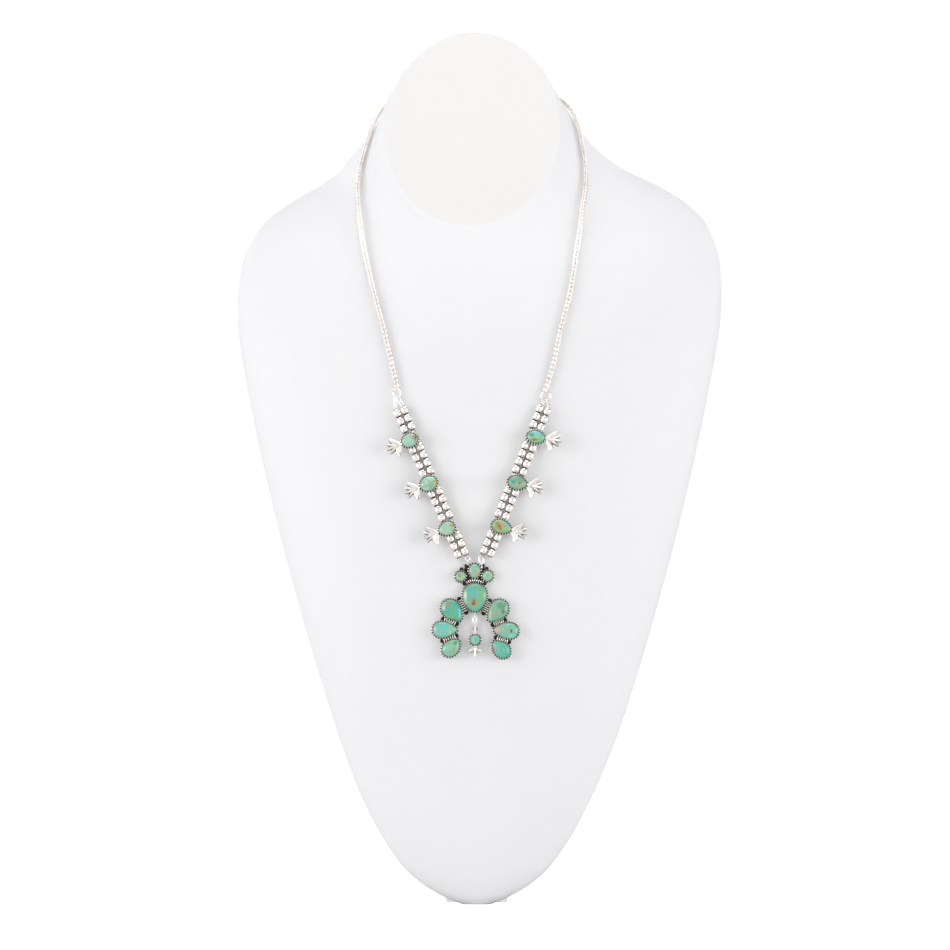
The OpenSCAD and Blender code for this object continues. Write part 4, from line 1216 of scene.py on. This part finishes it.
drop = {
    "x": 0.2, "link": (-11.8, -13.6), "linkR": 0.95, "wire": 0.3, "stem": 1, "stemSoot": 0.4, "post": 0.6,
    # The daisy: a disc, a ball in its middle and small flattened balls round it
    "daisy": -18, "disc": [(0, 0, 0.8), (1.5, 0, 0.8), (1.5, 0.7, 0.95), (0, 0.8, 0.95)], "petals": 8,
    "petalPlace": (1.25, 0, 0.75), "petalShape": (0.85, 0.62, 0.7, 1), "middle": 1.7, "middleHeight": 1.05,
    "stone": -24.4, "width": 5.5, "rise": 2.9, "petalLength": 6.2, "fanShift": 1, "fanGrow": 0.65,
    "broad": [(-33, 0.85, 3.3, -1), (33, 0.85, 3.3, 1)]
}


def makeDrop():
    link = newMesh()
    x = naja["dropEye"][0]
    oval = ovalPoints(*[(x, y) for y in drop["link"]], drop["linkR"])
    addPart(link, wire(oval, drop["wire"], True), najaFrame @ moveTo(0, 0, naja["ringHeight"]))
    finishPiece(link, "drop_ring", silver, 60)
    bm = newMesh()
    eyeY = drop["link"][1] - drop["linkR"] - threads["play"]
    addPart(bm, eyePart(naja["eyeR"], drop["wire"]),
            najaFrame @ moveTo(x, eyeY, naja["ringHeight"]) @ turnBy(90, "Y"))
    left, right = drop["x"] - drop["stem"] / 2, drop["x"] + drop["stem"] / 2
    low, high = drop["stone"], eyeY - naja["eyeR"]
    stem = [(left, low), (right, low), (right, high), (left, high)]
    addPart(bm, platePart(stem, naja["plate"], drop["stemSoot"]), najaFrame)
    post = boxPart(drop["stem"], drop["post"], naja["ringHeight"])
    addPart(bm, post, najaFrame @ moveTo(drop["x"], high, naja["ringHeight"] / 2))
    daisy = najaFrame @ moveTo(drop["x"], drop["daisy"], 0)
    addPart(bm, turned(drop["disc"], 24), daisy)
    for i in range(drop["petals"]):
        turn = daisy @ Matrix.Rotation(math.tau * i / drop["petals"], 4, "Z")
        addPart(bm, ballPart(1), turn @ moveTo(*drop["petalPlace"]) @ Matrix.Diagonal(drop["petalShape"]))
    addPart(bm, ballPart(drop["middle"]), daisy @ moveTo(0, 0, drop["middleHeight"]))
    cup = najaFrame @ moveTo(drop["x"], drop["stone"], naja["plate"])
    spec = (drop["width"], drop["width"], 0)
    addPart(bm, settingPart(spec), cup)
    foot = najaFrame @ moveTo(drop["x"], drop["stone"] - drop["width"] / 2 - drop["fanShift"], 0)
    addFan(bm, foot @ turnBy(-90, "Z"), drop["petalLength"], drop["broad"], petal["narrow"][1:2],
           grow=drop["fanGrow"])
    finishPiece(bm, "drop_setting", silver, 40)
    addStone("drop_stone", cup, spec, drop["rise"], najaLooks["drop_stone"])


makeNaja()
makeDrop()
print("stage: naja and drop")

# Stage: a wide white floor and sky for the camera, soft even light, and a sky with dark gaps for reflections
stage = {"floor": 14, "white": 0.9, "mottle": 0.99, "mottleScale": 3, "roughness": 0.7, "seen": 1.0}
sky = {
    "seen": 1.05, "soft": 0.42, "glossy": 1.08,
    # Dark gaps: axis, middle and half width, in shares of a sphere's radius
    "gap": 0.12, "gaps": [("Z", -0.42, 0.1), ("Z", 0.62, 0.07), ("X", 0.7, 0.14)],
    "gapFull": 0.6, "gapEnd": 1.4
}
lampAim = Vector((0, 20, 250))
lamps = [
    # name, place, size, watts
    ("leftSoftbox", (-1900, -1050, 320), 1500, 30.4),
    ("rightSoftbox", (1900, -1050, 260), 1500, 29.8),
    ("topSoftbox", (0, -100, 2000), 1200, 10.6)
]


def makeStage():
    bm = newMesh()
    bmesh.ops.create_grid(bm, x_segments=8, y_segments=8, size=stage["floor"] / 2)
    floor = addObject("floor", toMesh(bm, "floor"))
    material, tree, shader, place = newMaterial("floorPaper")
    mottle = noiseNode(tree, place, stage["mottleScale"], 2)
    white, dull = [(level, level, level, 1) for level in (stage["white"], stage["white"] * stage["mottle"])]
    seen = addNode(tree, "LightPath").outputs["Is Camera Ray"]
    plugIn(tree, shader, Base_Color=mixColor(tree, mottle, white, dull), Roughness=stage["roughness"],
           Emission_Color=(1, 1, 1, 1), Emission_Strength=mathNode(tree, "MULTIPLY", seen, stage["seen"]))
    floor.data.materials.append(material)


def makeSky():
    world = bpy.data.worlds.new("studio")
    bpy.context.scene.world = world
    world.use_nodes = True
    tree = world.node_tree
    light = tree.nodes["Background"]
    plugIn(tree, light, Color=(1, 1, 1, 1), Strength=sky["soft"])
    toward = addNode(tree, "SeparateXYZ", Vector=addNode(tree, "TexCoord").outputs["Generated"]).outputs
    level = 1.0
    for axis, middle, half in sky["gaps"]:
        away = mathNode(tree, "ABSOLUTE", mathNode(tree, "SUBTRACT", toward[axis], middle))
        clear = rangeNode(tree, away, half * sky["gapFull"], half * sky["gapEnd"], sky["gap"], 1.0)
        level = mathNode(tree, "MULTIPLY", clear, level)
    glossy = addNode(tree, "Background", Color=level, Strength=sky["glossy"])
    seen = addNode(tree, "Background", Color=(1, 1, 1, 1), Strength=sky["seen"])
    path = addNode(tree, "LightPath").outputs
    mix = addNode(tree, "MixShader", i0=path["Is Glossy Ray"], i1=light.outputs[0], i2=glossy.outputs[0])
    mix = addNode(tree, "MixShader", i0=path["Is Camera Ray"], i1=mix.outputs[0], i2=seen.outputs[0])
    tree.links.new(mix.outputs[0], tree.nodes["World Output"].inputs["Surface"])


def makeLamps():
    for name, place, size, watts in lamps:
        data = bpy.data.lights.new(name, "AREA")
        data.shape = "SQUARE"
        data.size = size * mm
        data.energy = watts
        lamp = addObject(name, data)
        lamp.location = Vector(place) * mm
        lamp.rotation_euler = (lampAim * mm - lamp.location).to_track_quat("-Z", "Y").to_euler()
        lamp.visible_camera = False


makeStage()
makeSky()
makeLamps()
bpy.context.scene.view_settings.view_transform = "Standard"
print("stage: stage and light")
